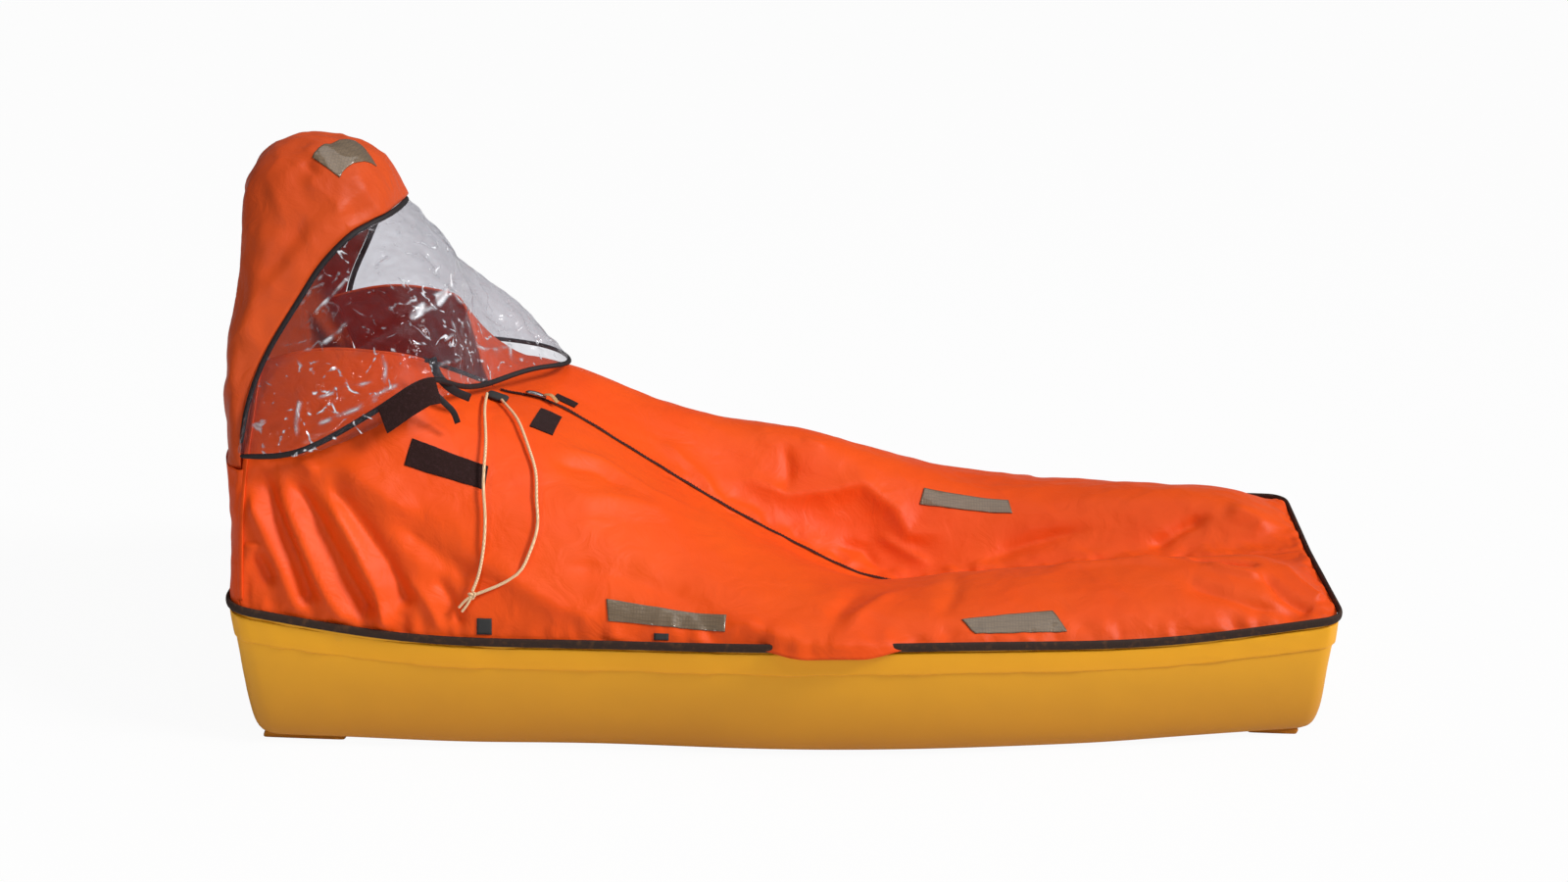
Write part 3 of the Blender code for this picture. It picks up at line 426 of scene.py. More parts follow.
@dataclass(frozen=True)
class ClearFilm(Finish):
    """Clear flexible vinyl: it lets most light through, greys what is behind it and glints on its creases.

    The painted glints of a fine crackle have lines about 40 mm apart. They show where the film has been crumpled,
    by the piece's crinkle attribute, and painted white glints run along the long creases by its crease attribute.
    """

    haze: float = 0.025
    glint: float = 0.85

    def weave(self, tree: bpy.types.NodeTree, shader: bpy.types.Node) -> None:
        """Mixes what shows through the film with its haze and its glints.

        Args:
            tree: The material's node tree.
            shader: Its main shader.
        """
        shader.inputs["Specular IOR Level"].default_value = 0.9
        shader.inputs["Coat Weight"].default_value = 1.0
        shader.inputs["Coat Roughness"].default_value = 0.04
        place = scaled_place(tree)
        buckle = add_node(tree, "ShaderNodeTexNoise", {"Scale": 17.0, "Detail": 2.0, "Distortion": 1.2},
                          {"Vector": place})
        self.relief(tree, shader, buckle.outputs["Fac"], 0.6, 0.010)
        ridges = add_node(tree, "ShaderNodeTexNoise", {"noise_type": "RIDGED_MULTIFRACTAL"}, {"Vector": place})
        for name, value in (("Scale", 24.0), ("Detail", 2.0), ("Distortion", 0.35), ("Offset", 0.9), ("Gain", 2.0)):
            ridges.inputs[name].default_value = value
        # Painted highlights: white crackle lines where the film is crumpled, and white along the long creases.
        lines = add_node(tree, "ShaderNodeMapRange", {"From Min": 1.16, "From Max": 1.34},
                         {"Value": ridges.outputs[0]})
        patch = add_node(tree, "ShaderNodeAttribute", {"attribute_name": "crinkle"})
        sparkle = add_node(tree, "ShaderNodeMath", {"operation": "MULTIPLY"},
                           {0: lines.outputs[0], 1: patch.outputs["Fac"]})
        crease = add_node(tree, "ShaderNodeAttribute", {"attribute_name": "crease"})
        white = add_node(tree, "ShaderNodeMath", {"operation": "ADD", "use_clamp": True},
                         {0: sparkle.outputs[0], 1: crease.outputs["Fac"]})
        clear = add_node(tree, "ShaderNodeBsdfTransparent", {"Color": linear("#F7F7F9")})
        edge = add_node(tree, "ShaderNodeLayerWeight", {"Blend": 0.3})
        share = add_node(tree, "ShaderNodeMath", {"operation": "MULTIPLY_ADD", 1: 0.26, 2: self.haze},
                         {0: edge.outputs["Facing"]})
        total = add_node(tree, "ShaderNodeMath", {"operation": "MULTIPLY_ADD", 1: self.glint, "use_clamp": True},
                         {0: white.outputs[0], 2: share.outputs[0]})
        mix = add_node(tree, "ShaderNodeMixShader", {},
                       {0: total.outputs[0], 1: clear.outputs[0], 2: shader.outputs[0]})
        self.tint(tree, shader, white.outputs[0], self.colour, "#F8FAFF")
        tree.links.new(mix.outputs[0], tree.nodes["Material Output"].inputs["Surface"])


CANOPY_NYLON = ProofedNylon("proofed_orange_nylon", "#F65A10", 0.5)
HOOD_NYLON = ProofedNylon("proofed_orange_hood_nylon", "#DE561C", 0.5, deep="#C4451A")
# Both coated fabrics carry painted shade, darker towards their bottom edges.
HULL_FABRIC = CoatedFabric("coated_yellow_fabric", "#FBB220", 0.5)
STRIP_FABRIC = CoatedFabric("coated_yellow_strip", "#FFB41A", 0.5, deep="#FBAA18", low=0.16, high=0.24)
TRIM_TAPE = WovenTape("brown_binding_tape", "#2F190D", 0.8, worn="#5C381D")
VISOR_TAPE = WovenTape("black_binding_tape", "#150E10", 0.7, worn="#2B1F23")
WEBBING = WovenTape("black_webbing", "#22140D", 0.8, worn="#3D2A1C")
PILE = LoopPile("hook_and_loop_pile", "#2C1917", 0.95)
SILVER_TAPE = RetroTape("retroreflective_tape", "#7A664F", 0.4)
CORD_BRAID = BraidedCord("cream_braided_cord", "#FBDDB4", 0.75)
BOTTLE_METAL = SatinMetal("satin_steel", "#9A9CA0", 0.3)
BRASS = SatinMetal("dull_brass", "#B08A4A", 0.35)
RUBBER = MouldedRubber("moulded_black_rubber", "#1B1A1A", 0.6)
ZIP_TEETH = MouldedRubber("moulded_zip_teeth", "#3A160C", 0.5)
# The pockets' cloth is a darker, browner yellow than the hull's: painted shade for where they sit under the hull.
POCKET_CLOTH = ProofedNylon("shaded_pocket_nylon", "#E0922A", 0.7, deep="#B06A1E")
ZIP_TAG = WovenTape("tan_tag_webbing", "#B98A58", 0.8, worn="#D2AB7C")
VISOR_FILM = ClearFilm("clear_vinyl_film", "#85838A", 0.10)


# ---- Mesh work ----


# A distance past anything on the raft, and how many targets are measured at a time.
FAR_AWAY = 9.0
BATCH = 64
# How near two points are to be one corner, and the angle up to which two faces are one side of a sheet.
WELD = 0.00002
SAME_FACE = math.radians(50)


def select_only(*objects: bpy.types.Object) -> None:
    """Selects these objects alone and makes the first one active.

    Args:
        objects: The objects to select.
    """
    bpy.ops.object.select_all(action="DESELECT")
    for obj in objects:
        obj.select_set(True)
    bpy.context.view_layer.objects.active = objects[0]


def linked(name: str, data: bpy.types.ID) -> bpy.types.Object:
    """An object with this mesh, curve, lamp or camera, in the scene.

    Args:
        name: The object's name.
        data: Its data.

    Returns:
        The object.
    """
    made = bpy.data.objects.new(name, data)
    bpy.context.scene.collection.objects.link(made)
    return made


def copy_of_node(source: bpy.types.Object, name: str) -> bpy.types.Object:
    """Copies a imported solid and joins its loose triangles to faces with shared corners.

    Args:
        source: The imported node's object.
        name: The new piece's name.

    Returns:
        The new piece.
    """
    made = linked(name, source.data.copy())
    made.data.materials.clear()
    for spare in ("custom_normal", "sharp_edge", "sharp_face"):
        if spare in made.data.attributes:
            made.data.attributes.remove(made.data.attributes[spare])
    select_only(made)
    bpy.ops.object.mode_set(mode="EDIT")
    bpy.ops.mesh.select_all(action="SELECT")
    bpy.ops.mesh.remove_doubles(threshold=WELD)
    bpy.ops.mesh.tris_convert_to_quads(face_threshold=SAME_FACE, shape_threshold=math.radians(60))
    bpy.ops.mesh.normals_make_consistent(inside=False)
    bpy.ops.object.mode_set(mode="OBJECT")
    bpy.ops.object.shade_smooth()
    return made


def keep_outer_face(obj: bpy.types.Object, outward: Point) -> None:
    """Keeps one side of a thin closed shell.

    Args:
        obj: The shell.
        outward: The direction that the side kept faces on the whole.
    """
    work = bmesh.new()
    work.from_mesh(obj.data)
    direction = Vector(outward)
    start = max(work.faces, key=lambda face: face.normal.dot(direction) * face.calc_area())
    kept, waiting = {start}, [start]
    while waiting:
        for edge in waiting.pop().edges:
            if len(edge.link_faces) != 2 or edge.calc_face_angle(math.pi) > SAME_FACE:
                continue
            for face in edge.link_faces:
                if face not in kept:
                    kept.add(face)
                    waiting.append(face)
    bmesh.ops.delete(work, geom=[f for f in work.faces if f not in kept], context="FACES")
    work.to_mesh(obj.data)
    work.free()


def subdivide(obj: bpy.types.Object, levels: int) -> None:
    """Smooths the piece by subdivision and applies it.

    Args:
        obj: The piece.
        levels: How many times each face is divided.
    """
    change = obj.modifiers.new("smoothing", "SUBSURF")
    change.levels = change.render_levels = levels
    change.boundary_smooth = "PRESERVE_CORNERS"
    select_only(obj)
    bpy.ops.object.modifier_apply(modifier=change.name)


def thicken(obj: bpy.types.Object, thickness: float) -> None:
    """Gives a sheet its thickness, behind the face that it has.

    Args:
        obj: The sheet.
        thickness: Its thickness.
    """
    change = obj.modifiers.new("thickness", "SOLIDIFY")
    change.thickness = thickness
    change.offset = -1
    change.use_even_offset = False
    select_only(obj)
    bpy.ops.object.modifier_apply(modifier=change.name)


def places_of(obj: bpy.types.Object) -> np.ndarray:
    """The mesh's points, as rows.

    Args:
        obj: The piece.

    Returns:
        One row for each point.
    """
    flat = np.empty(len(obj.data.vertices) * 3, np.float32)
    obj.data.vertices.foreach_get("co", flat)
    return flat.reshape(-1, 3).astype(float)


def directions_of(obj: bpy.types.Object) -> np.ndarray:
    """The mesh's normals at its points, as rows.

    Args:
        obj: The piece.

    Returns:
        One row for each point.
    """
    flat = np.empty(len(obj.data.vertices) * 3, np.float32)
    obj.data.vertex_normals.foreach_get("vector", flat)
    return flat.reshape(-1, 3).astype(float)


def move_to(obj: bpy.types.Object, places: np.ndarray) -> None:
    """Moves the mesh's points to these places.

    Args:
        obj: The piece.
        places: The new places, one row for each point.
    """
    obj.data.vertices.foreach_set("co", places.astype(np.float32).ravel())
    obj.data.update()


def smooth_step(values: np.ndarray) -> np.ndarray:
    """A soft ramp from 0 to 1.

    Args:
        values: The shares of the way along the ramp.

    Returns:
        The ramp at each value.
    """
    f = np.clip(values, 0, 1)
    return f * f * (3 - 2 * f)


def fractal(points: np.ndarray, loss: float, step: float, octaves: int) -> np.ndarray:
    """Fractal noise at each point, in waves of one unit and finer.

    Args:
        points: The points, as rows.
        loss: How fast the finer waves get lower.
        step: How much finer each set of waves is.
        octaves: How many sets there are.

    Returns:
        One value for each point.
    """
    return np.array([noise.fractal(Vector(p), loss, step, octaves) for p in points])


def nearest(points: np.ndarray, targets: np.ndarray) -> np.ndarray:
    """The distance from each point to the nearest target.

    Args:
        points: The points, as rows.
        targets: The targets, as rows.

    Returns:
        One distance for each point.
    """
    best = np.full(len(points), FAR_AWAY)
    for start in range(0, len(targets), BATCH):
        gap = points[:, None] - targets[None, start : start + BATCH]
        best = np.minimum(best, np.linalg.norm(gap, axis=2).min(axis=1))
    return best


def edge_places(obj: bpy.types.Object) -> np.ndarray:
    """The points on a sheet's open edges.

    Args:
        obj: The sheet.

    Returns:
        The points, as rows.
    """
    work = bmesh.new()
    work.from_mesh(obj.data)
    found = np.array([v.co[:] for v in work.verts if v.is_boundary])
    work.free()
    return found


# A fold's profile: 2 gives a soft roll and 1 a knife edge.
SHARPNESS = 1.5
# Where the creases' noise is read, so that they don't follow the ripple.
CREASE_SHIFT = 7.3
# Tucks along the gunwale: waves a metre along each axis, the height that they stay below, the width of the sewn
# edge where they start, and how far in from it they are full and then die out.
TUCKS = (30.0, 30.0, 5.0)
TUCKS_BELOW = 0.36
SEWN_EDGE = 0.010
TUCKS_FULL = 0.012
TUCKS_FADE = 0.05
# What counts as the near gunwale: points lower than this, and past this on the near side.
GUNWALE_TOP = 0.26
GUNWALE_SIDE = -0.3


@dataclass(frozen=True)
class Fold:
    """A ridge in the cloth, or a valley where height is below zero, along a line.

    fade gives the shares of the line over which it dies out at its first and its last end.
    """

    height: float
    width: float
    line: Line
    fade: tuple[float, float] = (0.3, 0.3)

    def lift(self, points: np.ndarray) -> np.ndarray:
        """How far the fold lifts each point.

        Args:
            points: The points, as rows.

        Returns:
            One height for each point.
        """
        line = np.array(self.line)
        sizes = np.linalg.norm(np.diff(line, axis=0), axis=1)
        gap = np.full(len(points), FAR_AWAY)
        along = np.zeros(len(points))
        for i, (start, step) in enumerate(zip(line, np.diff(line, axis=0))):
            share = np.clip((points - start) @ step / sizes[i] ** 2, 0, 1)
            reach = np.linalg.norm(points - start - share[:, None] * step, axis=1)
            closer = reach < gap
            gap[closer] = reach[closer]
            along[closer] = ((sizes[:i].sum() + share * sizes[i]) / sizes.sum())[closer]
        shape = self.height * np.exp(-((gap / self.width) ** SHARPNESS))
        first, last = self.fade
        if first:
            shape *= smooth_step(along / first)
        if last:
            shape *= smooth_step((1 - along) / last)
        return shape


@dataclass(frozen=True)
class Spill:
    """Slack cloth that hangs out over the gunwale's trim between two places along the raft.

    reach is how far up the cloth moves with it, and ramp is the share of its length that each end takes.
    """

    start: float
    end: float
    reach: float
    shift: Point
    ramp: float = 0.35

    def move(self, points: np.ndarray, inset: np.ndarray) -> np.ndarray:
        """How the slack moves points.

        Args:
            points: The points, as rows.
            inset: Their distances from the gunwale.

        Returns:
            One shift for each point.
        """
        ramp = (self.end - self.start) * self.ramp
        along = smooth_step((points[:, 0] - self.start) / ramp) * smooth_step((self.end - points[:, 0]) / ramp)
        return np.outer(along * (1 - smooth_step(inset / self.reach)), self.shift)


@dataclass(frozen=True)
class Cloth:
    """How a panel of cloth is folded: its folds, a soft ripple, and sharp creases between flatter facets.

    ripple and crumple are heights; grain and streak are how many waves a metre each has along each axis. gather is
    the height of the tucks along the gunwale.
    """

    folds: tuple[Fold, ...]
    ripple: float = 0.0015
    grain: Point = (9.0, 12.0, 9.0)
    crumple: float = 0.0035
    streak: Point = (7.0, 9.0, 7.0)
    gather: float = 0.0
    spill: Spill | None = None
    held: float = 0.022

    def lift(self, points: np.ndarray) -> np.ndarray:
        """How far the folds and the ripple lift each point.

        Args:
            points: The points, as rows.

        Returns:
            One height for each point.
        """
        total = sum((fold.lift(points) for fold in self.folds), np.zeros(len(points)))
        scaled = points * self.grain
        total += self.ripple * fractal(scaled, 0.9, 2.1, 3)
        creased = points * self.streak + CREASE_SHIFT
        total += self.crumple * (0.25 - np.abs(fractal(creased, 0.8, 2.0, 3)))
        return total

    def settle(self, obj: bpy.types.Object) -> None:
        """Folds a sheet, whose open edges stay where they are held.

        Args:
            obj: The sheet.
        """
        points = places_of(obj)
        inset = nearest(points, edge_places(obj))
        total = self.lift(points) * smooth_step(inset / self.held)
        if self.gather:
            tucks = fractal(points * TUCKS, 1.0, 2.0, 2) * (points[:, 2] < TUCKS_BELOW)
            beside = smooth_step(inset / SEWN_EDGE) * (1 - smooth_step((inset - TUCKS_FULL) / TUCKS_FADE))
            total += self.gather * tucks * beside
        moved = points + directions_of(obj) * total[:, None]
        if self.spill:
            edge = edge_places(obj)
            gunwale = edge[(edge[:, 2] < GUNWALE_TOP) & (edge[:, 1] < GUNWALE_SIDE)]
            moved += self.spill.move(points, nearest(points, gunwale))
        move_to(obj, moved)


def tree_of(obj: bpy.types.Object) -> BVHTree:
    """A search tree over the piece's faces.

    Args:
        obj: The piece.

    Returns:
        The search tree.
    """
    return BVHTree.FromPolygons([v.co for v in obj.data.vertices], [p.vertices[:] for p in obj.data.polygons])


def lay_on(obj: bpy.types.Object, surface: BVHTree, lift: float) -> None:
    """Moves each point of a sheet to just above the surface under it.

    Args:
        obj: The sheet.
        surface: The surface's search tree.
        lift: How far above the surface the sheet's face comes.
    """
    places = []
    for point in places_of(obj):
        found, normal, _, _ = surface.find_nearest(Vector(point))
        places.append(found + normal * lift)
    move_to(obj, np.array(places))


def sheet_of(frame: dict, node: str, name: str, outward: Point, levels: int) -> bpy.types.Object:
    """The outer face of a packed shell as a smooth open sheet.

    Args:
        frame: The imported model.
        node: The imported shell.
        name: The new piece's name.
        outward: The direction that its outer face looks on the whole.
        levels: How far it is subdivided.

    Returns:
        The sheet.
    """
    made = copy_of_node(frame["nodes"][node], name)
    keep_outer_face(made, outward)
    subdivide(made, levels)
    return made


def swollen_copy(frame: dict, node: str, name: str, levels: int, swell: float) -> bpy.types.Object:
    """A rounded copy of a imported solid, let out by a small distance to make up what rounding takes.

    Args:
        frame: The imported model.
        node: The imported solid.
        name: The new piece's name.
        levels: How far it is subdivided.
        swell: How far its faces are let out.

    Returns:
        The new piece.
    """
    made = copy_of_node(frame["nodes"][node], name)
    subdivide(made, levels)
    move_to(made, places_of(made) + directions_of(made) * swell)
    return made


def crisp_copy(frame: dict, node: str, name: str, bevel: float) -> bpy.types.Object:
    """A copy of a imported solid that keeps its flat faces, with its sharp edges broken.

    Args:
        frame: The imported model.
        node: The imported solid.
        name: The new piece's name.
        bevel: The width of the broken edges.

    Returns:
        The new piece.
    """
    made = copy_of_node(frame["nodes"][node], name)
    change = made.modifiers.new("broken edges", "BEVEL")
    change.width = bevel
    change.segments = 2
    change.limit_method = "ANGLE"
    change.angle_limit = SAME_FACE
    select_only(made)
    bpy.ops.object.modifier_apply(modifier=change.name)
    return made


def finish_piece(obj: bpy.types.Object, finish: Finish, slot: str, body: str, *replaced: str) -> bpy.types.Object:
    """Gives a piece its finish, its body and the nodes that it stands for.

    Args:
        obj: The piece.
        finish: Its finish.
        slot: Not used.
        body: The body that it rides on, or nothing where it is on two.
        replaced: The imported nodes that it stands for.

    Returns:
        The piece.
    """
    obj.data.materials.clear()
    obj.data.materials.append(finish.material())
    if obj.type == "MESH":
        for face in obj.data.polygons:
            face.use_smooth = True
            face.material_index = 0
    if body:
        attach(obj, body)
    if replaced:
        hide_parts(*replaced)
    LOG.info("piece %s", obj.name)
    return obj


def dress_node(frame: dict, node: str, finish: Finish) -> None:
    """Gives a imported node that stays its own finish.

    Args:
        frame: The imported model.
        node: The node.
        finish: Its finish.
    """
    piece = frame["nodes"][node]
    piece.data.materials.clear()
    piece.data.materials.append(finish.material())
    LOG.info("node %s", node)


def smooth_line(points: Sequence[Point], count: int) -> np.ndarray:
    """Points spaced along a smooth curve through the points given.

    Args:
        points: The points that it passes.
        count: How many points it gives.

    Returns:
        The points, as rows.
    """
    points = np.asarray(points, float)
    steps = np.linalg.norm(np.diff(points, axis=0), axis=1)
    knots = np.concatenate([[0.0], np.cumsum(steps)])
    slopes = np.gradient(points, knots, axis=0)
    at = np.linspace(0, knots[-1], count)
    i = np.clip(np.searchsorted(knots, at, side="right") - 1, 0, len(knots) - 2)
    width = (knots[i + 1] - knots[i])[:, None]
    f = (at - knots[i])[:, None] / width
    a = (2 * f**3 - 3 * f**2 + 1) * points[i] + (f**3 - 2 * f**2 + f) * width * slopes[i]
    b = (3 * f**2 - 2 * f**3) * points[i + 1] + (f**3 - f**2) * width * slopes[i + 1]
    return a + b


def cord_curve(name: str, line: np.ndarray, radius: float) -> bpy.types.Object:
    """A round cord as a curve of one open spline with closed ends.

    Args:
        name: The cord's name.
        line: The points of its middle.
        radius: Its radius.

    Returns:
        The cord, as a curve.
    """
    curve = bpy.data.curves.new(name, "CURVE")
    curve.dimensions = "3D"
    curve.bevel_depth = radius
    curve.bevel_resolution = 3
    curve.use_fill_caps = True
    spline = curve.splines.new("POLY")
    spline.points.add(len(line) - 1)
    for point, place in zip(spline.points, line):
        point.co = (*place, 1.0)
    return linked(name, curve)


def tube_mesh(name: str, line: np.ndarray, radius: float) -> bpy.types.Object:
    """A round tube along a line, as a mesh.

    Args:
        name: The tube's name.
        line: The points of its middle.
        radius: Its radius.

    Returns:
        The tube.
    """
    made = cord_curve(name, line, radius)
    made.data.bevel_resolution = 2
    select_only(made)
    bpy.ops.object.convert(target="MESH")
    return bpy.context.view_layer.objects.active


def ribbon(name: str, line: np.ndarray, normals: np.ndarray, width: float, thickness: float) -> bpy.types.Object:
    """A flat tape along a line, with its flat side facing along the normals.

    Args:
        name: The piece's name.
        line: The points of its middle.
        normals: The direction that its face looks at each point.
        width: Its width.
        thickness: Its thickness.

    Returns:
        The tape as a closed mesh.
    """
    along = np.gradient(line, axis=0)
    along /= np.linalg.norm(along, axis=1, keepdims=True)
    across = np.cross(along, normals)
    across /= np.linalg.norm(across, axis=1, keepdims=True)
    face = np.cross(across, along)
    section = [(-0.5, 0.15), (-0.42, 0.5), (0.42, 0.5), (0.5, 0.15), (0.5, -0.5), (-0.5, -0.5)]
    rows = [line + across * (width * a) + face * (thickness * b) for a, b in section]
    points = np.stack(rows, axis=1)
    count = len(section)
    work = bmesh.new()
    made = [[work.verts.new(p) for p in row] for row in points]
    for low, high in zip(made, made[1:]):
        for k in range(count):
            work.faces.new((low[k], low[(k + 1) % count], high[(k + 1) % count], high[k]))
    work.faces.new(made[0][::-1])
    work.faces.new(made[-1])
    bmesh.ops.recalc_face_normals(work, faces=work.faces)
    mesh = bpy.data.meshes.new(name)
    work.to_mesh(mesh)
    work.free()
    return linked(name, mesh)


def joined(name: str, pieces: Iterable[bpy.types.Object]) -> bpy.types.Object:
    """Joins pieces into one object with its place in its mesh.

    Args:
        name: The joined piece's name.
        pieces: The pieces.

    Returns:
        The joined piece.
    """
    pieces = list(pieces)
    select_only(*pieces)
    bpy.ops.object.transform_apply(location=True, rotation=True, scale=True)
    bpy.ops.object.join()
    made = bpy.context.view_layer.objects.active
    made.name = made.data.name = name
    return made


# ---- The canopy ----


NEAR_FOLDS = (
    Fold(-0.01395, 0.0123, ((-0.848, -0.378, 0.354), (-0.831, -0.387, 0.327), (-0.811, -0.398, 0.293))),
    Fold(0.0124, 0.0162, ((-0.863, -0.338, 0.446), (-0.833, -0.365, 0.391), (-0.795, -0.391, 0.318),
                        (-0.771, -0.404, 0.267)), (0.2, 0.0)),
    Fold(-0.0186, 0.0152, ((-0.847, -0.317, 0.481), (-0.819, -0.350, 0.429), (-0.778, -0.382, 0.349),
                         (-0.750, -0.404, 0.263)), (0.2, 0.1)),
    Fold(0.0155, 0.0162, ((-0.816, -0.333, 0.462), (-0.779, -0.367, 0.393), (-0.729, -0.397, 0.295),
                        (-0.701, -0.405, 0.251)), (0.3, 0.0)),
    Fold(-0.02015, 0.0171, ((-0.798, -0.325, 0.477), (-0.742, -0.364, 0.401), (-0.682, -0.395, 0.296),
                         (-0.651, -0.405, 0.244)), (0.2, 0.1)),
    Fold(0.0093, 0.0095, ((-0.781, -0.317, 0.493), (-0.741, -0.333, 0.467))),
    Fold(0.01395, 0.0142, ((-0.735, -0.342, 0.451), (-0.682, -0.373, 0.368), (-0.645, -0.394, 0.296),
                        (-0.630, -0.405, 0.244)), (0.25, 0.0)),
    Fold(-0.0155, 0.0171, ((-0.736, -0.330, 0.472), (-0.660, -0.364, 0.382), (-0.625, -0.380, 0.336),
                         (-0.588, -0.399, 0.260)), (0.2, 0.1)),
    Fold(0.0124, 0.0285, ((-0.722, -0.321, 0.486), (-0.630, -0.336, 0.429), (-0.568, -0.338, 0.401))),
    Fold(-0.01085, 0.0209, ((-0.628, -0.349, 0.404), (-0.546, -0.363, 0.348), (-0.504, -0.372, 0.319),
                         (-0.462, -0.379, 0.295))),
    Fold(0.01085, 0.0209, ((-0.526, -0.357, 0.355), (-0.443, -0.367, 0.318), (-0.358, -0.381, 0.273),
                        (-0.280, -0.388, 0.248)), (0.4, 0.1)),
    Fold(-0.0093, 0.0114, ((-0.553, -0.377, 0.319), (-0.524, -0.388, 0.280), (-0.511, -0.397, 0.248)), (0.3, 0.0)),
    Fold(0.00775, 0.0114, ((-0.601, -0.383, 0.321), (-0.560, -0.393, 0.273), (-0.544, -0.401, 0.240)), (0.3, 0.0)),
    Fold(0.0093, 0.019, ((-0.399, -0.159, 0.463), (-0.315, -0.125, 0.420), (-0.224, -0.144, 0.370),
                        (-0.155, -0.114, 0.330))),
    Fold(-0.00775, 0.0152, ((-0.392, -0.199, 0.447), (-0.319, -0.161, 0.420), (-0.253, -0.164, 0.383))),
    Fold(0.0093, 0.0266, ((-0.382, -0.259, 0.413), (-0.281, -0.210, 0.387), (-0.154, -0.164, 0.333))),
    Fold(-0.01085, 0.0285, ((-0.370, -0.345, 0.333), (-0.246, -0.330, 0.305), (-0.166, -0.335, 0.280),
                         (-0.091, -0.357, 0.258))),
    Fold(0.0155, 0.0209, ((-0.110, -0.365, 0.254), (-0.023, -0.380, 0.236), (0.100, -0.386, 0.228),
                        (0.220, -0.378, 0.228)), (0.3, 0.3)),
    Fold(-0.00775, 0.0133, ((0.141, -0.240, 0.250), (0.103, -0.330, 0.249), (0.090, -0.375, 0.232))),
    Fold(0.00775, 0.0133, ((0.207, -0.238, 0.251), (0.136, -0.340, 0.249), (0.113, -0.380, 0.231))),
    Fold(0.01085, 0.0133, ((0.437, -0.160, 0.262), (0.565, -0.150, 0.275), (0.701, -0.154, 0.282)), (0.3, 0.3)),
    Fold(-0.0155, 0.0095, ((0.690, -0.135, 0.280), (0.762, -0.150, 0.282), (0.815, -0.158, 0.280)), (0.2, 0.2)),
    Fold(0.0093, 0.0085, ((0.706, -0.162, 0.282), (0.759, -0.188, 0.280), (0.820, -0.197, 0.273))),
    Fold(-0.0124, 0.0133, ((0.803, -0.175, 0.279), (0.840, -0.228, 0.258), (0.885, -0.248, 0.235)), (0.3, 0.1)),
    Fold(0.0093, 0.0133, ((0.840, -0.130, 0.270), (0.870, -0.180, 0.260), (0.905, -0.218, 0.240)), (0.3, 0.1)),
    Fold(-0.0093, 0.0152, ((0.676, -0.184, 0.279), (0.696, -0.231, 0.267), (0.791, -0.258, 0.249),
                         (0.868, -0.254, 0.235))),
    Fold(-0.0062, 0.0152, ((0.299, -0.153, 0.247), (0.292, -0.269, 0.259), (0.265, -0.351, 0.242))),
)
FAR_FOLDS = (
    Fold(0.0093, 0.0209, ((-0.244, 0.076, 0.393), (-0.171, 0.040, 0.332), (-0.132, 0.020, 0.302))),
    Fold(0.01395, 0.0228, ((-0.145, 0.046, 0.321), (-0.080, 0.077, 0.311), (-0.013, 0.077, 0.283),
                        (0.059, 0.098, 0.284), (0.130, 0.122, 0.293), (0.192, 0.104, 0.249), (0.216, 0.082, 0.211),
                        (0.312, 0.086, 0.213)), (0.2, 0.2)),
    Fold(-0.0093, 0.0123, ((-0.018, 0.150, 0.368), (-0.007, 0.107, 0.322), (-0.013, 0.078, 0.285))),
    Fold(0.0062, 0.0095, ((0.011, 0.157, 0.370), (0.061, 0.162, 0.353))),
    Fold(-0.0093, 0.0114, ((0.077, 0.042, 0.203), (0.134, 0.057, 0.188), (0.175, 0.020, 0.156))),
    Fold(0.0093, 0.0133, ((0.147, 0.079, 0.217), (0.212, 0.061, 0.183), (0.270, 0.031, 0.167))),
    Fold(-0.0124, 0.0152, ((0.341, 0.037, 0.176), (0.409, 0.064, 0.200), (0.489, 0.079, 0.221),
                         (0.568, 0.084, 0.233))),
    Fold(-0.01395, 0.0123, ((0.644, 0.037, 0.209), (0.713, 0.073, 0.242), (0.771, 0.094, 0.266))),
    Fold(0.0124, 0.0247, ((0.790, 0.110, 0.270), (0.850, 0.085, 0.258), (0.868, 0.050, 0.242))),
    Fold(0.0093, 0.0171, ((-0.700, 0.340, 0.480), (-0.640, 0.370, 0.400), (-0.600, 0.395, 0.270)), (0.2, 0.0)),
    Fold(-0.01395, 0.0171, ((-0.780, 0.330, 0.470), (-0.730, 0.365, 0.390), (-0.690, 0.400, 0.260)), (0.2, 0.1)),
    Fold(-0.01085, 0.0171, ((-0.560, 0.330, 0.440), (-0.520, 0.365, 0.350), (-0.500, 0.395, 0.260)), (0.2, 0.1)),
    Fold(0.01085, 0.0152, ((-0.840, 0.340, 0.440), (-0.800, 0.380, 0.350), (-0.790, 0.402, 0.260)), (0.2, 0.0)),
    Fold(0.0093, 0.019, ((-0.480, 0.330, 0.400), (-0.380, 0.365, 0.320), (-0.330, 0.390, 0.260)), (0.2, 0.1)),
)
BACK_FOLDS = (
    Fold(-0.0124, 0.019, ((-0.915, -0.230, 0.450), (-0.910, -0.260, 0.350), (-0.905, -0.300, 0.270)), (0.3, 0.0)),
    Fold(0.01085, 0.0228, ((-0.918, -0.120, 0.460), (-0.915, -0.140, 0.350), (-0.912, -0.190, 0.275)), (0.3, 0.0)),
    Fold(-0.01085, 0.0209, ((-0.922, 0.020, 0.455), (-0.920, 0.030, 0.350), (-0.918, 0.060, 0.280)), (0.3, 0.0)),
    Fold(0.0093, 0.0228, ((-0.918, 0.150, 0.455), (-0.915, 0.170, 0.350), (-0.912, 0.210, 0.275)), (0.3, 0.0)),
)
# The slack at the near side's middle, and how far it hangs out and down.
BELLY = Spill(-0.045, 0.245, 0.060, (0.0, -0.024, -0.009))


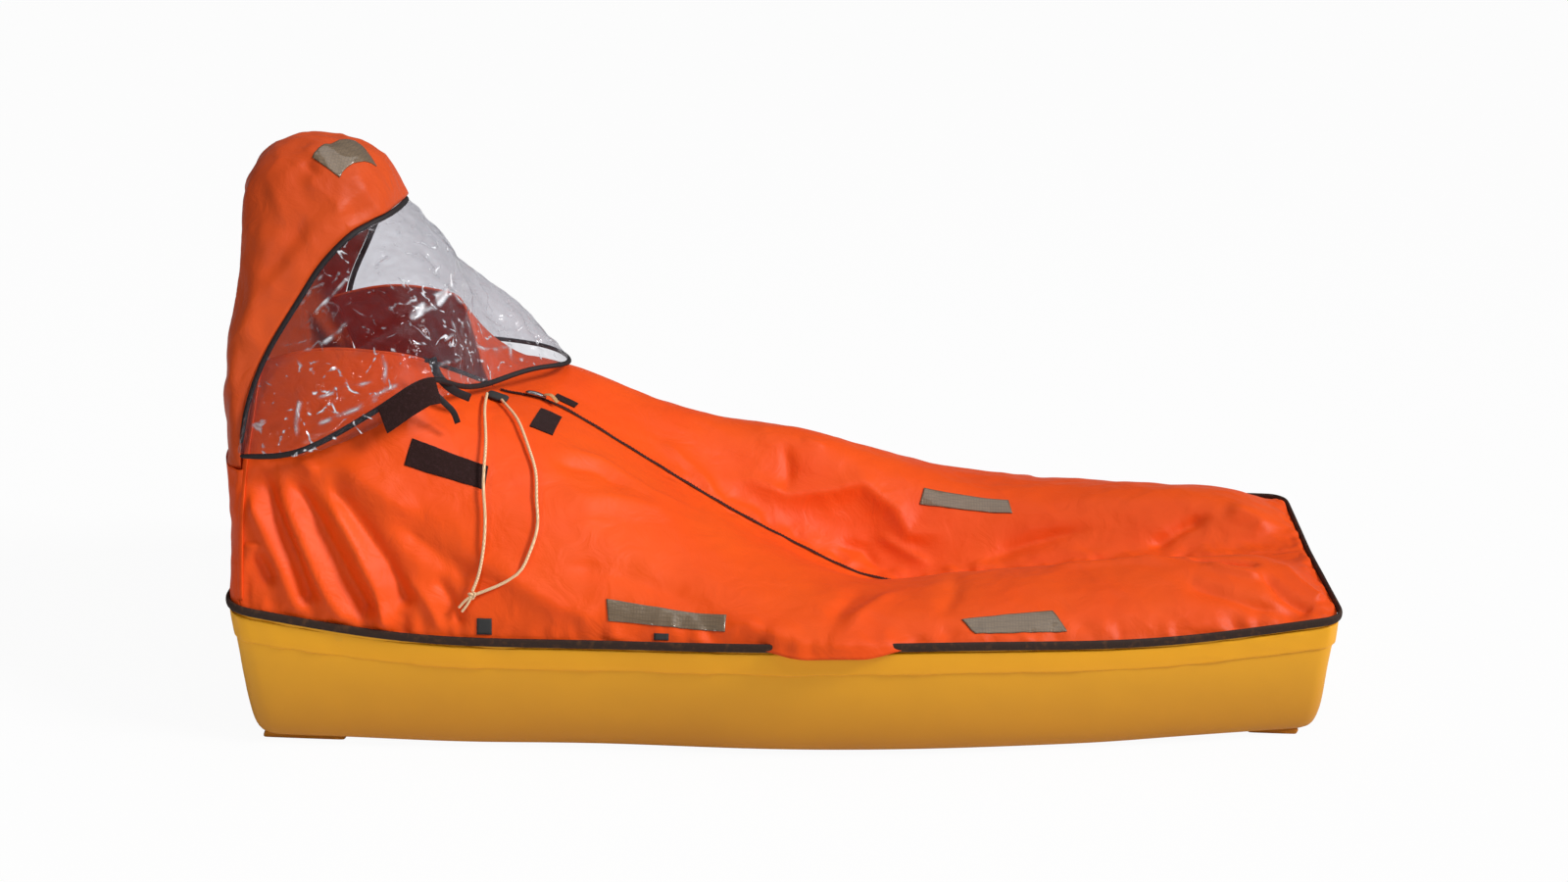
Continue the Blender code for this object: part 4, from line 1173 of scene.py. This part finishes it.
@dataclass
class Canopy:
    """The orange canopy: two sides that meet at the zip, and the back panel.

    The collar's edge is what lies above collar_height, from corner_at to collar_end along the raft, and its dark tape
    starts at tape_start. The back corner's edge is what lies behind corner_at, above corner_foot.
    """

    frame: dict
    cloth: float = 0.0012
    side_flat: tuple[float, float] = (0.62, 1.86)
    back_flat: tuple[float, float] = (0.95, 0.27)
    seam_width: float = 0.011
    seam_thickness: float = 0.0018
    hem_radius: float = 0.0032
    collar_height: float = 0.45
    corner_at: float = -0.866
    collar_end: float = -0.535
    tape_start: float = -0.606
    corner_foot: float = 0.27
    surfaces: dict[Side, BVHTree] = field(default_factory=dict)

    def build(self) -> None:
        """Builds the three panels, their seams and the hem of the collar."""
        for side, folds in ((Side.NEAR, NEAR_FOLDS), (Side.FAR, FAR_FOLDS)):
            node = f"canopy_side_{side.name.lower()}"
            sheet = sheet_of(self.frame, node, node + "_cloth", (0.1, side.value * 0.5, 0.9), 3)
            Cloth(folds, gather=0.007, spill=BELLY if side is Side.NEAR else None).settle(sheet)
            self.surfaces[side] = tree_of(sheet)
            self.hem(sheet, side)
            thicken(sheet, self.cloth)
            finish_piece(sheet, CANOPY_NYLON, "orange_canopy_cloth", RAFT, node)
        back = sheet_of(self.frame, "canopy_back", "canopy_back_cloth", (-1, 0, 0), 3)
        Cloth(BACK_FOLDS, grain=(9.0, 9.0, 7.0), crumple=0.006).settle(back)
        thicken(back, self.cloth)
        finish_piece(back, CANOPY_NYLON, "orange_canopy_cloth", RAFT, "canopy_back")

    def hem(self, sheet: bpy.types.Object, side: Side) -> None:
        """Rolls the collar's edge into a cord channel, and lays a seam down the back corner.

        Args:
            sheet: The side's cloth, before it is thickened.
            side: The side that it is on.
        """
        edge = edge_places(sheet)
        on_collar = (edge[:, 2] > self.collar_height) & (edge[:, 0] > self.corner_at) & (edge[:, 0] < self.collar_end)
        collar = edge[on_collar]
        collar = collar[np.argsort(collar[:, 0])][::3]
        roll = tube_mesh(f"collar_hem_{side.name.lower()}", collar - (0, 0, self.hem_radius * 0.4), self.hem_radius)
        finish_piece(roll, CANOPY_NYLON, "orange_canopy_cloth", RAFT)
        if side is Side.NEAR:
            dark = collar[collar[:, 0] > self.tape_start]
            tape = tube_mesh("collar_tape", dark + (0, -0.001, 0.0005), self.hem_radius * 1.35)
            finish_piece(tape, VISOR_TAPE, "dark_binding_tape", RAFT)
        corner = edge[(edge[:, 0] < self.corner_at) & (edge[:, 2] > self.corner_foot)]
        corner = smooth_line(corner[np.argsort(corner[:, 2])][::6], 60)
        outward = np.tile((-0.45, side.value * 0.85, 0.25), (len(corner), 1))
        seam = ribbon(f"back_seam_{side.name.lower()}", corner, outward, self.seam_width, self.seam_thickness)
        finish_piece(seam, CANOPY_NYLON, "orange_canopy_cloth", RAFT)


# ---- What lies on the canopy ----


@dataclass
class Patches:
    """Hook-and-loop patches, reflective tapes and webbing tabs that are sewn to the cloth under them."""

    frame: dict
    canopy: Canopy
    hood: BVHTree
    thickness: float = 0.0016
    clearance: float = 0.0003
    cuts: int = 5

    def sew(self, node: str, surface: BVHTree, outward: Point, finish: Finish, slot: str, body: str) -> None:
        """Sews one flat piece to the surface under it.

        Args:
            node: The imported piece.
            surface: What it lies on.
            outward: The direction that its face looks.
            finish: Its finish.
            slot: Its material slot in the record.
            body: The body that it rides on.
        """
        piece = copy_of_node(self.frame["nodes"][node], node + "_sewn")
        keep_outer_face(piece, outward)
        select_only(piece)
        bpy.ops.object.mode_set(mode="EDIT")
        bpy.ops.mesh.select_all(action="SELECT")
        bpy.ops.mesh.subdivide(number_cuts=self.cuts)
        bpy.ops.object.mode_set(mode="OBJECT")
        lay_on(piece, surface, self.thickness + self.clearance)
        thicken(piece, self.thickness)
        finish_piece(piece, finish, slot, body, node)

    def build(self) -> None:
        """Sews on every patch, tape and tab."""
        for node, side in (("chest_patch", Side.NEAR), ("zip_tab_near", Side.NEAR), ("zip_tab_far", Side.FAR)):
            self.sew(node, self.canopy.surfaces[side], (0, side.value * 0.4, 0.9), PILE, "hook_and_loop", RAFT)
        kinds = (("tape_{}_{}", ("mid", "foot"), (0.6, 0.6), SILVER_TAPE, "reflective_tape"),
                 ("gunwale_tab_{}_{}", (1, 2), (1.0, 0.2), WEBBING, "black_webbing"))
        for name, places, (out, up), finish, slot in kinds:
            for side, place in product(Side, places):
                node = name.format(side.name.lower(), place)
                self.sew(node, self.canopy.surfaces[side], (0, side.value * out, up), finish, slot, RAFT)
        self.sew("tape_hood", self.hood, (0.1, -0.4, 0.9), SILVER_TAPE, "reflective_tape", HOOD)


# ---- The zip ----


@dataclass
class Zip:
    """The zip down the middle of the canopy, with its slider and the slider's tag."""

    frame: dict
    pitch: float = 0.0032
    width: float = 0.0044
    tooth: float = 0.0011
    tooth_reach: float = 0.0022
    tooth_foot: float = 0.0006
    teeth_lift: float = 0.0009

    def build(self) -> None:
        """Builds the tape, the teeth, the slider and its tag."""
        low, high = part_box("zip_chain")
        points = places_of(self.frame["nodes"]["zip_chain"])
        xs = np.linspace(low.x + 0.004, high.x - 0.002, 90)
        order = np.argsort(points[:, 0])
        tops = np.interp(xs, points[order, 0], points[order, 2])
        for _ in range(3):
            tops[1:-1] = (tops[:-2] + tops[1:-1] * 2 + tops[2:]) / 4
        line = np.column_stack([xs, np.zeros(len(xs)), tops + 0.0005])
        slope = np.gradient(line, axis=0)
        up = np.column_stack([-slope[:, 2], np.zeros(len(xs)), slope[:, 0]])
        up /= np.linalg.norm(up, axis=1, keepdims=True)
        tape = ribbon("zip_tape", line, up, self.width * 1.5, 0.0012)
        finish_piece(tape, ZIP_TEETH, "zip_tape", RAFT, "zip_chain")
        self.teeth(line + up * self.teeth_lift)
        self.slider()

    def teeth(self, line: np.ndarray) -> None:
        """Sets one tooth after another along the zip, by turns on its two sides.

        Args:
            line: The middle of the teeth.
        """
        sizes = np.linalg.norm(np.diff(line, axis=0), axis=1)
        count = int(sizes.sum() / self.pitch)
        fine = smooth_line(line, count)
        slope = np.gradient(fine, axis=0)
        slope /= np.linalg.norm(slope, axis=1, keepdims=True)
        work = bmesh.new()
        for i, (place, along) in enumerate(zip(fine, slope)):
            out = np.array([-along[2], 0, along[0]])
            across = np.array([0, 1.0, 0]) * (1 if i % 2 else -1)
            foot = ((-1, -self.tooth_foot), (1, -self.tooth_foot), (1, self.tooth_reach), (-1, self.tooth_reach))
            corners = [place + along * a * self.tooth + across * b + out * c
                       for c in (0.0, self.tooth) for a, b in foot]
            v = [work.verts.new(p) for p in corners]
            for f in ((3, 2, 1, 0), (4, 5, 6, 7), (0, 1, 5, 4), (1, 2, 6, 5), (2, 3, 7, 6), (3, 0, 4, 7)):
                work.faces.new([v[k] for k in f])
        bmesh.ops.recalc_face_normals(work, faces=work.faces)
        mesh = bpy.data.meshes.new("zip_teeth")
        work.to_mesh(mesh)
        work.free()
        finish_piece(linked("zip_teeth", mesh), ZIP_TEETH, "zip_tape", RAFT)

    def slider(self) -> None:
        """Rounds the slider and hangs a webbing tag from it."""
        body = swollen_copy(self.frame, "zip_slider", "zip_slider_body", 2, 0.0012)
        finish_piece(body, BOTTLE_METAL, "bare_metal", RAFT, "zip_slider")
        low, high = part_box("zip_slider")
        start = np.array([high.x - 0.004, 0.0, (low.z + high.z) / 2])
        line = smooth_line([start, start + (0.012, -0.004, 0.001), start + (0.026, -0.012, -0.010)], 12)
        tag = ribbon("zip_tag", line, np.tile((0.4, -0.2, 0.9), (12, 1)), 0.009, 0.0014)
        finish_piece(tag, ZIP_TAG, "cream_cord", RAFT)


# ---- The hood and the visor ----


HOOD_FOLDS = (
    Fold(0.008, 0.020, ((-0.686, -0.067, 0.901), (-0.754, -0.140, 0.843), (-0.821, -0.189, 0.761),
                        (-0.863, -0.213, 0.695)), (0.2, 0.3)),
    Fold(-0.008, 0.018, ((-0.770, -0.141, 0.866), (-0.825, -0.176, 0.793), (-0.871, -0.206, 0.720))),
    Fold(0.006, 0.022, ((-0.885, -0.199, 0.713), (-0.905, -0.217, 0.628), (-0.916, -0.226, 0.562),
                        (-0.915, -0.240, 0.506))),
    Fold(-0.006, 0.014, ((-0.885, -0.213, 0.663), (-0.912, -0.227, 0.576))),
    Fold(-0.005, 0.010, ((-0.802, -0.090, 0.936), (-0.773, -0.106, 0.905))),
    Fold(-0.007, 0.020, ((-0.930, -0.100, 0.800), (-0.935, -0.110, 0.680), (-0.932, -0.130, 0.560))),
    Fold(0.007, 0.024, ((-0.930, 0.040, 0.820), (-0.936, 0.050, 0.680), (-0.932, 0.040, 0.540))),
    Fold(-0.007, 0.020, ((-0.900, 0.150, 0.780), (-0.920, 0.160, 0.660), (-0.925, 0.170, 0.540))),
    Fold(0.007, 0.020, ((-0.700, 0.080, 0.895), (-0.764, 0.145, 0.838), (-0.831, 0.190, 0.750),
                        (-0.870, 0.215, 0.690)), (0.2, 0.3)),
)
FILM_CREASES = (
    Fold(0.005, 0.006, ((-0.790, -0.248, 0.673), (-0.731, -0.209, 0.737), (-0.687, -0.170, 0.780))),
    Fold(-0.005, 0.007, ((-0.708, -0.288, 0.642), (-0.655, -0.264, 0.681), (-0.593, -0.218, 0.706),
                         (-0.560, -0.109, 0.712))),
    Fold(0.006, 0.007, ((-0.619, -0.245, 0.700), (-0.580, -0.171, 0.721), (-0.560, -0.051, 0.721))),
    Fold(0.004, 0.006, ((-0.632, -0.301, 0.605), (-0.631, -0.288, 0.639), (-0.638, -0.271, 0.672))),
    Fold(0.005, 0.006, ((-0.769, -0.342, 0.521), (-0.770, -0.329, 0.559), (-0.765, -0.315, 0.590),
                        (-0.770, -0.302, 0.613))),
    Fold(0.004, 0.005, ((-0.771, -0.318, 0.585), (-0.728, -0.313, 0.597), (-0.681, -0.305, 0.611),
                        (-0.627, -0.293, 0.624))),
    Fold(-0.005, 0.006, ((-0.769, -0.335, 0.544), (-0.703, -0.324, 0.567), (-0.619, -0.300, 0.599))),
    Fold(0.006, 0.006, ((-0.696, -0.320, 0.577), (-0.620, -0.297, 0.609), (-0.555, -0.229, 0.627),
                        (-0.531, -0.089, 0.599))),
    Fold(0.004, 0.006, ((-0.797, -0.217, 0.705), (-0.771, -0.198, 0.740), (-0.747, -0.176, 0.774))),
    Fold(-0.005, 0.008, ((-0.728, -0.146, 0.811), (-0.699, -0.116, 0.826), (-0.673, -0.073, 0.833))),
    Fold(0.006, 0.006, ((-0.558, -0.147, 0.692), (-0.550, -0.160, 0.662), (-0.559, -0.208, 0.654))),
    Fold(-0.006, 0.006, ((-0.565, -0.027, 0.732), (-0.563, -0.122, 0.716), (-0.576, -0.194, 0.699))),
    Fold(0.006, 0.006, ((-0.569, 0.034, 0.685), (-0.546, -0.092, 0.676), (-0.545, -0.143, 0.654))),
    Fold(0.005, 0.006, ((-0.576, -0.128, 0.737), (-0.560, -0.109, 0.712), (-0.543, -0.078, 0.665))),
    Fold(0.005, 0.006, ((-0.539, -0.085, 0.645), (-0.534, -0.086, 0.615), (-0.523, -0.022, 0.584),
                        (-0.496, 0.053, 0.572))),
    Fold(-0.005, 0.007, ((-0.503, 0.140, 0.623), (-0.479, 0.104, 0.597), (-0.456, 0.088, 0.562),
                         (-0.436, 0.071, 0.530))),
    Fold(0.005, 0.006, ((-0.478, 0.143, 0.594), (-0.446, 0.114, 0.567), (-0.421, 0.119, 0.534))),
    Fold(0.004, 0.005, ((-0.509, 0.051, 0.585), (-0.499, 0.020, 0.564), (-0.492, 0.003, 0.546))),
    Fold(0.004, 0.006, ((-0.607, -0.271, 0.659), (-0.603, -0.280, 0.637), (-0.617, -0.294, 0.617))),
    Fold(-0.004, 0.006, ((-0.677, -0.178, 0.771), (-0.661, -0.155, 0.787), (-0.649, -0.137, 0.794))),
    Fold(0.005, 0.007, ((-0.751, -0.273, 0.657), (-0.714, -0.256, 0.685), (-0.685, -0.238, 0.710))),
    Fold(-0.006, 0.009, ((-0.611, -0.095, 0.792), (-0.585, -0.105, 0.765), (-0.568, -0.116, 0.731))),
)
# Where the film is crumpled and carries painted glints: a middle and a radius each.
CRINKLED = ((-0.556, -0.120, 0.700, 0.120), (-0.575, -0.020, 0.745, 0.090), (-0.535, -0.090, 0.640, 0.110),
            (-0.470, 0.090, 0.580, 0.080), (-0.760, -0.325, 0.560, 0.110), (-0.640, -0.300, 0.600, 0.080),
            (-0.735, -0.150, 0.790, 0.060))
# The film's edge below the hem tape: the line that it hangs from, and how far it drops along it.
BORDER_TOP = ((-0.776, -0.3515, 0.510), (-0.730, -0.345, 0.534), (-0.682, -0.331, 0.559), (-0.640, -0.312, 0.580),
              (-0.606, -0.292, 0.600), (-0.575, -0.258, 0.604), (-0.560, -0.215, 0.588), (-0.550, -0.172, 0.568))
BORDER_DROP = (0.004, 0.016, 0.024, 0.027, 0.028, 0.027, 0.022, 0.008)
STRAP = ((-0.5680, -0.235, 0.640), (-0.5610, -0.2300, 0.6080), (-0.5420, -0.2150, 0.5780), (-0.5210, -0.1900, 0.5560))
TAIL = ((-0.5640, -0.262, 0.5920), (-0.5470, -0.2620, 0.5740), (-0.5330, -0.2560, 0.5540), (-0.5280, -0.2520, 0.5340))


@dataclass
class HoodAndVisor:
    """The orange hood, which tilts back about the nape, with its clear visor, bindings and patch.
    """

    frame: dict
    cloth: float = 0.0012
    film: float = 0.0006
    tape: float = 0.0016
    hood_flat: tuple[float, float] = (0.62, 0.95)
    film_flat: tuple[float, float] = (0.42, 1.25)
    border_flat: tuple[float, float] = (0.03, 0.30)
    nape_band: float = 0.06
    surface: BVHTree | None = None

    def build(self) -> None:
        """Builds the hood's cloth, the film, the two bindings and the patch."""
        hood = sheet_of(self.frame, "hood", "hood_cloth", (-0.4, 0, 1), 3)
        Cloth(HOOD_FOLDS, grain=(10.0, 10.0, 7.0), crumple=0.010, streak=(9.0, 9.0, 4.5)).settle(hood)
        self.surface = tree_of(hood)
        thicken(hood, self.cloth)
        finish_piece(hood, HOOD_NYLON, "orange_canopy_cloth", "", "hood")
        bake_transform(hood)
        self.visor()
        for node, name in (("visor_arch_binding", "arch_tape"), ("visor_hem_binding", "hem_tape")):
            tape = swollen_copy(self.frame, node, name, 2, self.tape)
            finish_piece(tape, VISOR_TAPE, "dark_binding_tape", HOOD, node)
        self.border()
        for name, line, width in (("visor_strap", STRAP, 0.014), ("hem_tape_tail", TAIL, 0.010)):
            points = smooth_line(line, 24)
            tape = ribbon(name, points, np.tile((0.35, -0.85, 0.3), (24, 1)), width, self.tape)
            finish_piece(tape, VISOR_TAPE, "dark_binding_tape", HOOD)
        patch = crisp_copy(self.frame, "visor_patch", "visor_patch_sewn", 0.0007)
        finish_piece(patch, PILE, "hook_and_loop", HOOD, "visor_patch")

    def border(self) -> None:
        """The crinkled edge of the film that hangs below the hem tape on the near side."""
        across, down = 90, 9
        top = smooth_line(BORDER_TOP, across)
        drop = np.interp(np.linspace(0, 1, across), np.linspace(0, 1, len(BORDER_DROP)), BORDER_DROP)
        rows = []
        for share in np.linspace(0, 1, down):
            wave = fractal(top * 60 + (0, 0, share * 2), 1.0, 2.0, 2)
            row = top - np.outer(drop * share, (-0.12, 0.10, 0.99))
            row[:, 1] -= 0.002 + wave * 0.004 * share
            rows.append(row)
        points = np.array(rows).reshape(-1, 3)
        corners = [i * across + j for i in range(down - 1) for j in range(across - 1)]
        faces = [(k, k + across, k + across + 1, k + 1) for k in corners]
        mesh = bpy.data.meshes.new("film_border")
        mesh.from_pydata(points.tolist(), [], faces)
        border = linked("film_border", mesh)
        self.mark(border, np.zeros(len(points)), np.ones(len(points)))
        thicken(border, self.film)
        finish_piece(border, VISOR_FILM, "clear_visor_film", HOOD)

    def mark(self, sheet: bpy.types.Object, creased: np.ndarray, crinkled: np.ndarray) -> None:
        """Writes where a sheet of film has painted white glints on its creases and where it is crumpled.

        Args:
            sheet: The sheet.
            creased: How strong each point's painted glint is, from 0 to 1.
            crinkled: How crumpled each point is, from 0 to 1.
        """
        for name, values in (("crease", creased), ("crinkle", crinkled)):
            layer = sheet.data.attributes.new(name, "FLOAT", "POINT")
            layer.data.foreach_set("value", np.clip(values, 0, 1).astype(np.float32))

    def visor(self) -> None:
        """Creases the film and marks its creases, which catch the light."""
        film = sheet_of(self.frame, "visor", "visor_film", (0.7, 0, 0.7), 4)
        points = places_of(film)
        # Painted glints along the creases, broken up by noise.
        marks = sum(np.abs(fold.lift(points)) / abs(fold.height) for fold in FILM_CREASES)
        marks = np.clip(marks * 1.6 - 0.8, 0, 1) * np.clip(0.45 + fractal(points * 45, 1.0, 2.0, 2) * 1.8, 0, 1)
        crinkled = sum(np.exp(-((np.linalg.norm(points - c[:3], axis=1) / c[3]) ** 2)) for c in CRINKLED)
        grain, streak = (14.0, 14.0, 14.0), (12.0, 12.0, 12.0)
        Cloth(FILM_CREASES, ripple=0.003, grain=grain, crumple=0.007, streak=streak).settle(film)
        self.mark(film, marks, crinkled)
        thicken(film, self.film)
        finish_piece(film, VISOR_FILM, "clear_visor_film", HOOD, "visor")


# ---- The hull ----


@dataclass
class Hull:
    """The inflated hull with its floor, the strip that carries the canopy and the trim on the gunwale.

    dent, pucker and lump are heights, and their waves are how many there are a metre. rounding and pocket_swell make
    up what smoothing takes off, and a pocket has no lumps up to pocket_foot.
    """

    frame: dict
    dent: float = 0.0022
    dent_waves: Point = (4.0, 4.0, 7.0)
    pucker: float = 0.0024
    pucker_waves: Point = (44.0, 44.0, 7.0)
    rounding: float = 0.0012
    pocket_swell: float = 0.004
    lump: float = 0.0035
    lump_waves: float = 34.0
    pocket_foot: float = 0.006

    def build(self) -> None:
        """Builds the hull's skin, the strip, the trim and the ballast pockets."""
        tube = copy_of_node(self.frame["nodes"]["hull_tube"], "hull_skin")
        subdivide(tube, 2)
        move_to(tube, places_of(tube) + directions_of(tube) * self.dents(places_of(tube))[:, None])
        finish_piece(tube, HULL_FABRIC, "yellow_coated_fabric", RAFT, "hull_tube")
        dress_node(self.frame, "floor_panel", HULL_FABRIC)
        strip = copy_of_node(self.frame["nodes"]["attachment_strip"], "strip_skin")
        subdivide(strip, 2)
        points = places_of(strip)
        move_to(strip, points + directions_of(strip) * (self.rounding + self.puckers(points))[:, None])
        finish_piece(strip, STRIP_FABRIC, "yellow_strip", RAFT, "attachment_strip")
        trim = swollen_copy(self.frame, "gunwale_trim", "trim_tape", 2, self.rounding)
        finish_piece(trim, TRIM_TAPE, "dark_binding_tape", RAFT, "gunwale_trim")
        for end, side in product(("head", "foot"), Side):
            node = f"ballast_pocket_{end}_{side.name.lower()}"
            pocket = swollen_copy(self.frame, node, node + "_cloth", 3, self.pocket_swell)
            points = places_of(pocket)
            lumps = fractal(points * self.lump_waves, 1.0, 2.0, 3) * self.lump
            held = smooth_step(points[:, 2] / self.pocket_foot)
            move_to(pocket, points + directions_of(pocket) * (lumps * held)[:, None])
            finish_piece(pocket, POCKET_CLOTH, "ballast_cloth", RAFT, node)

    def dents(self, points: np.ndarray) -> np.ndarray:
        """Soft dents and swellings of the inflated wall, none on the flat bottom.

        Args:
            points: The wall's points, as rows.

        Returns:
            How far each point is let out.
        """
        wave = fractal(points * self.dent_waves, 1.0, 2.0, 3)
        return wave * self.dent * smooth_step((points[:, 2] - 0.02) / 0.06)

    def puckers(self, points: np.ndarray) -> np.ndarray:
        """Small gathers under the trim, where the strip is sewn on."""
        return fractal(points * self.pucker_waves, 1.0, 2.0, 2) * self.pucker


# ---- Cords and fittings ----


CORD_RADIUS = 0.0026
HEAD_STRAND = (
    (-0.52166, -0.0685, 0.5215), (-0.51066, -0.135, 0.520), (-0.48766, -0.237, 0.491), (-0.48066, -0.297, 0.443),
    (-0.47266, -0.332, 0.396), (-0.47266, -0.360, 0.351), (-0.47966, -0.381, 0.312), (-0.48621, -0.3904, 0.29555),
)
FOOT_STRAND = (
    (-0.49666, -0.0680, 0.5100), (-0.45066, -0.146, 0.499), (-0.42766, -0.193, 0.478), (-0.40566, -0.239, 0.445),
    (-0.39766, -0.279, 0.415), (-0.39066, -0.319, 0.378), (-0.39766, -0.348, 0.350), (-0.41266, -0.370, 0.322),
    (-0.43566, -0.380, 0.308), (-0.46366, -0.388, 0.297), (-0.47996, -0.3913, 0.2912),
)
KNOT = (-0.48666, -0.3922, 0.289)
KNOT_TAILS = (
    ((-0.4929, -0.3965, 0.277), (-0.5029, -0.4005, 0.2635)),
    ((-0.4969, -0.3950, 0.2815), (-0.5079, -0.3990, 0.2700)),
)


@dataclass
class Drawstring:
    """The drawstring that closes the collar: two strands, the knot that joins them and the keeper."""

    frame: dict
    loop_size: float = 0.0019
    wrap_radius: float = 0.0021
    tail_radius: float = 0.0023

    def build(self) -> None:
        """Builds the keeper, the knot and the two strands."""
        keeper = swollen_copy(self.frame, "cord_keeper", "cord_keeper_webbing", 2, 0.0008)
        finish_piece(keeper, WEBBING, "black_webbing", RAFT, "cord_keeper")
        knot = self.knot()
        for name, route in (("drawstring_head_side", HEAD_STRAND), ("drawstring_foot_side", FOOT_STRAND)):
            line = smooth_line(route, 40)
            strand = cord_curve(name + "_cord", line, CORD_RADIUS)
            finish_piece(strand, CORD_BRAID, "cream_cord", RAFT, name)

    def knot(self) -> bpy.types.Object:
        """An overhand knot with two short tails.

        Returns:
            The knot.
        """
        turn = np.linspace(0, 2 * math.pi, 60)
        loop = np.column_stack([np.sin(turn) + 2 * np.sin(2 * turn), -np.sin(3 * turn) * 0.9,
                                np.cos(turn) - 2 * np.cos(2 * turn)]) * self.loop_size
        wraps = tube_mesh("wraps", loop + KNOT, self.wrap_radius)
        tails = [tube_mesh("tail", smooth_line((KNOT, *line), 12), self.tail_radius) for line in KNOT_TAILS]
        knot = joined("drawstring_knot_tied", [wraps, *tails])
        return finish_piece(knot, CORD_BRAID, "cream_cord", RAFT, "drawstring_knot")


@dataclass
class Fittings:
    """The gas bottle, its valve and bands, the mouth tube and the towing loop."""

    frame: dict

    def build(self) -> None:
        """Gives each fitting its finish."""
        for node, finish in (("gas_bottle", BOTTLE_METAL), ("inflation_valve", BRASS), ("bottle_band_near", WEBBING),
                             ("bottle_band_far", WEBBING), ("mouth_tube", RUBBER), ("tow_loop", WEBBING),
                             ("tow_patch", STRIP_FABRIC)):
            dress_node(self.frame, node, finish)


# ---- The studio ----


@dataclass(frozen=True)
class WhiteSweep(Finish):
    """A burnt-out white studio sweep: the camera sees it almost white, with a trace of the raft's shadow."""

    glow: float = 0.95

    def weave(self, tree: bpy.types.NodeTree, shader: bpy.types.Node) -> None:
        """Lets the camera see more glow than shading.

        Args:
            tree: The material's node tree.
            shader: Its main shader.
        """
        seen = add_node(tree, "ShaderNodeLightPath")
        share = add_node(tree, "ShaderNodeMath", {"operation": "MULTIPLY", 1: self.glow},
                         {0: seen.outputs["Is Camera Ray"]})
        white = add_node(tree, "ShaderNodeEmission", {"Color": (1, 1, 1, 1), "Strength": 1.0})
        mix = add_node(tree, "ShaderNodeMixShader", {},
                       {0: share.outputs[0], 1: shader.outputs[0], 2: white.outputs[0]})
        tree.links.new(mix.outputs[0], tree.nodes["Material Output"].inputs["Surface"])


@dataclass
class Studio:
    """A pale floor, soft light and a camera where the photograph was taken from."""

    azimuth: float = 4.0
    elevation: float = 20.7364
    distance: float = 3.2
    lens: float = 41.3518
    aim: Point = (-0.00846, 0.0, 0.4207)
    sky: float = 0.13

    def build(self) -> None:
        """Sets up the camera, the floor and the light."""
        a, e = math.radians(self.azimuth), math.radians(self.elevation)
        back = Vector((math.sin(a) * math.cos(e), -math.cos(a) * math.cos(e), math.sin(e)))
        camera = linked("camera", bpy.data.cameras.new("camera"))
        camera.data.lens = self.lens
        camera.data.sensor_width = 36
        camera.location = Vector(self.aim) + back * self.distance
        camera.rotation_euler = (-back).to_track_quat("-Z", "Y").to_euler()
        bpy.context.scene.camera = camera
        bpy.context.scene.view_settings.view_transform = "Standard"
        self.floor()
        self.lights()

    def floor(self) -> None:
        """A pale floor under everything."""
        select_only(bpy.context.scene.camera)
        bpy.ops.mesh.primitive_plane_add(size=60, location=(0, 0, -0.0005))
        floor = bpy.context.view_layer.objects.active
        floor.name = "studio_floor"
        floor.data.materials.append(WhiteSweep("white_sweep", "#E8E8E8", 0.9).material())

    def lights(self) -> None:
        """An even sky, a soft key from the foot end, a fill from the near side and two small lamps for glints."""
        world = bpy.data.worlds.new("even_sky")
        world.use_nodes = True
        tree = world.node_tree
        seen = add_node(tree, "ShaderNodeLightPath")
        strength = add_node(tree, "ShaderNodeMapRange", {"To Min": self.sky, "To Max": 1.0},
                            {"Value": seen.outputs["Is Camera Ray"]})
        tree.nodes["Background"].inputs["Color"].default_value = (1, 1, 1, 1)
        tree.links.new(strength.outputs[0], tree.nodes["Background"].inputs["Strength"])
        bpy.context.scene.world = world
        key = bpy.data.lights.new("key", "SUN")
        key.energy = 2.5
        key.angle = math.radians(16)
        self.lamp(key, (2.6, -0.55, 2.3))
        for name, watts, size, place in (("roof", 26, (3.4, 2.0), (0.5, 0.4, 3.6)),
                                         ("fill", 5, (3.0, 0.6), (0.6, -3.4, 0.5))):
            panel = bpy.data.lights.new(name, "AREA")
            panel.energy = watts
            panel.shape = "RECTANGLE"
            panel.size, panel.size_y = size
            self.lamp(panel, place)
        for name, place in (("glint_high", (0.5, -1.6, 2.6)), ("glint_low", (-1.4, -2.4, 1.5))):
            glint = bpy.data.lights.new(name, "AREA")
            glint.energy = 7
            glint.size = 0.25
            self.lamp(glint, place)

    def lamp(self, data: bpy.types.Light, place: Point) -> None:
        """Hangs a lamp at a place, aimed at the middle of the raft.

        Args:
            data: The lamp.
            place: Where it hangs.
        """
        made = linked(data.name, data)
        made.location = place
        made.rotation_euler = (Vector(place) - Vector((0, 0, 0.3))).to_track_quat("Z", "Y").to_euler()


def main() -> None:
    """Builds every sub-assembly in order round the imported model."""
    logging.basicConfig(level=logging.INFO, format="%(message)s")
    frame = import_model()
    Studio().build()
    Hull(frame).build()
    canopy = Canopy(frame)
    canopy.build()
    hood = HoodAndVisor(frame)
    hood.build()
    Patches(frame, canopy, hood.surface).build()
    Zip(frame).build()
    Drawstring(frame).build()
    Fittings(frame).build()


if __name__ == "__main__":
    main()
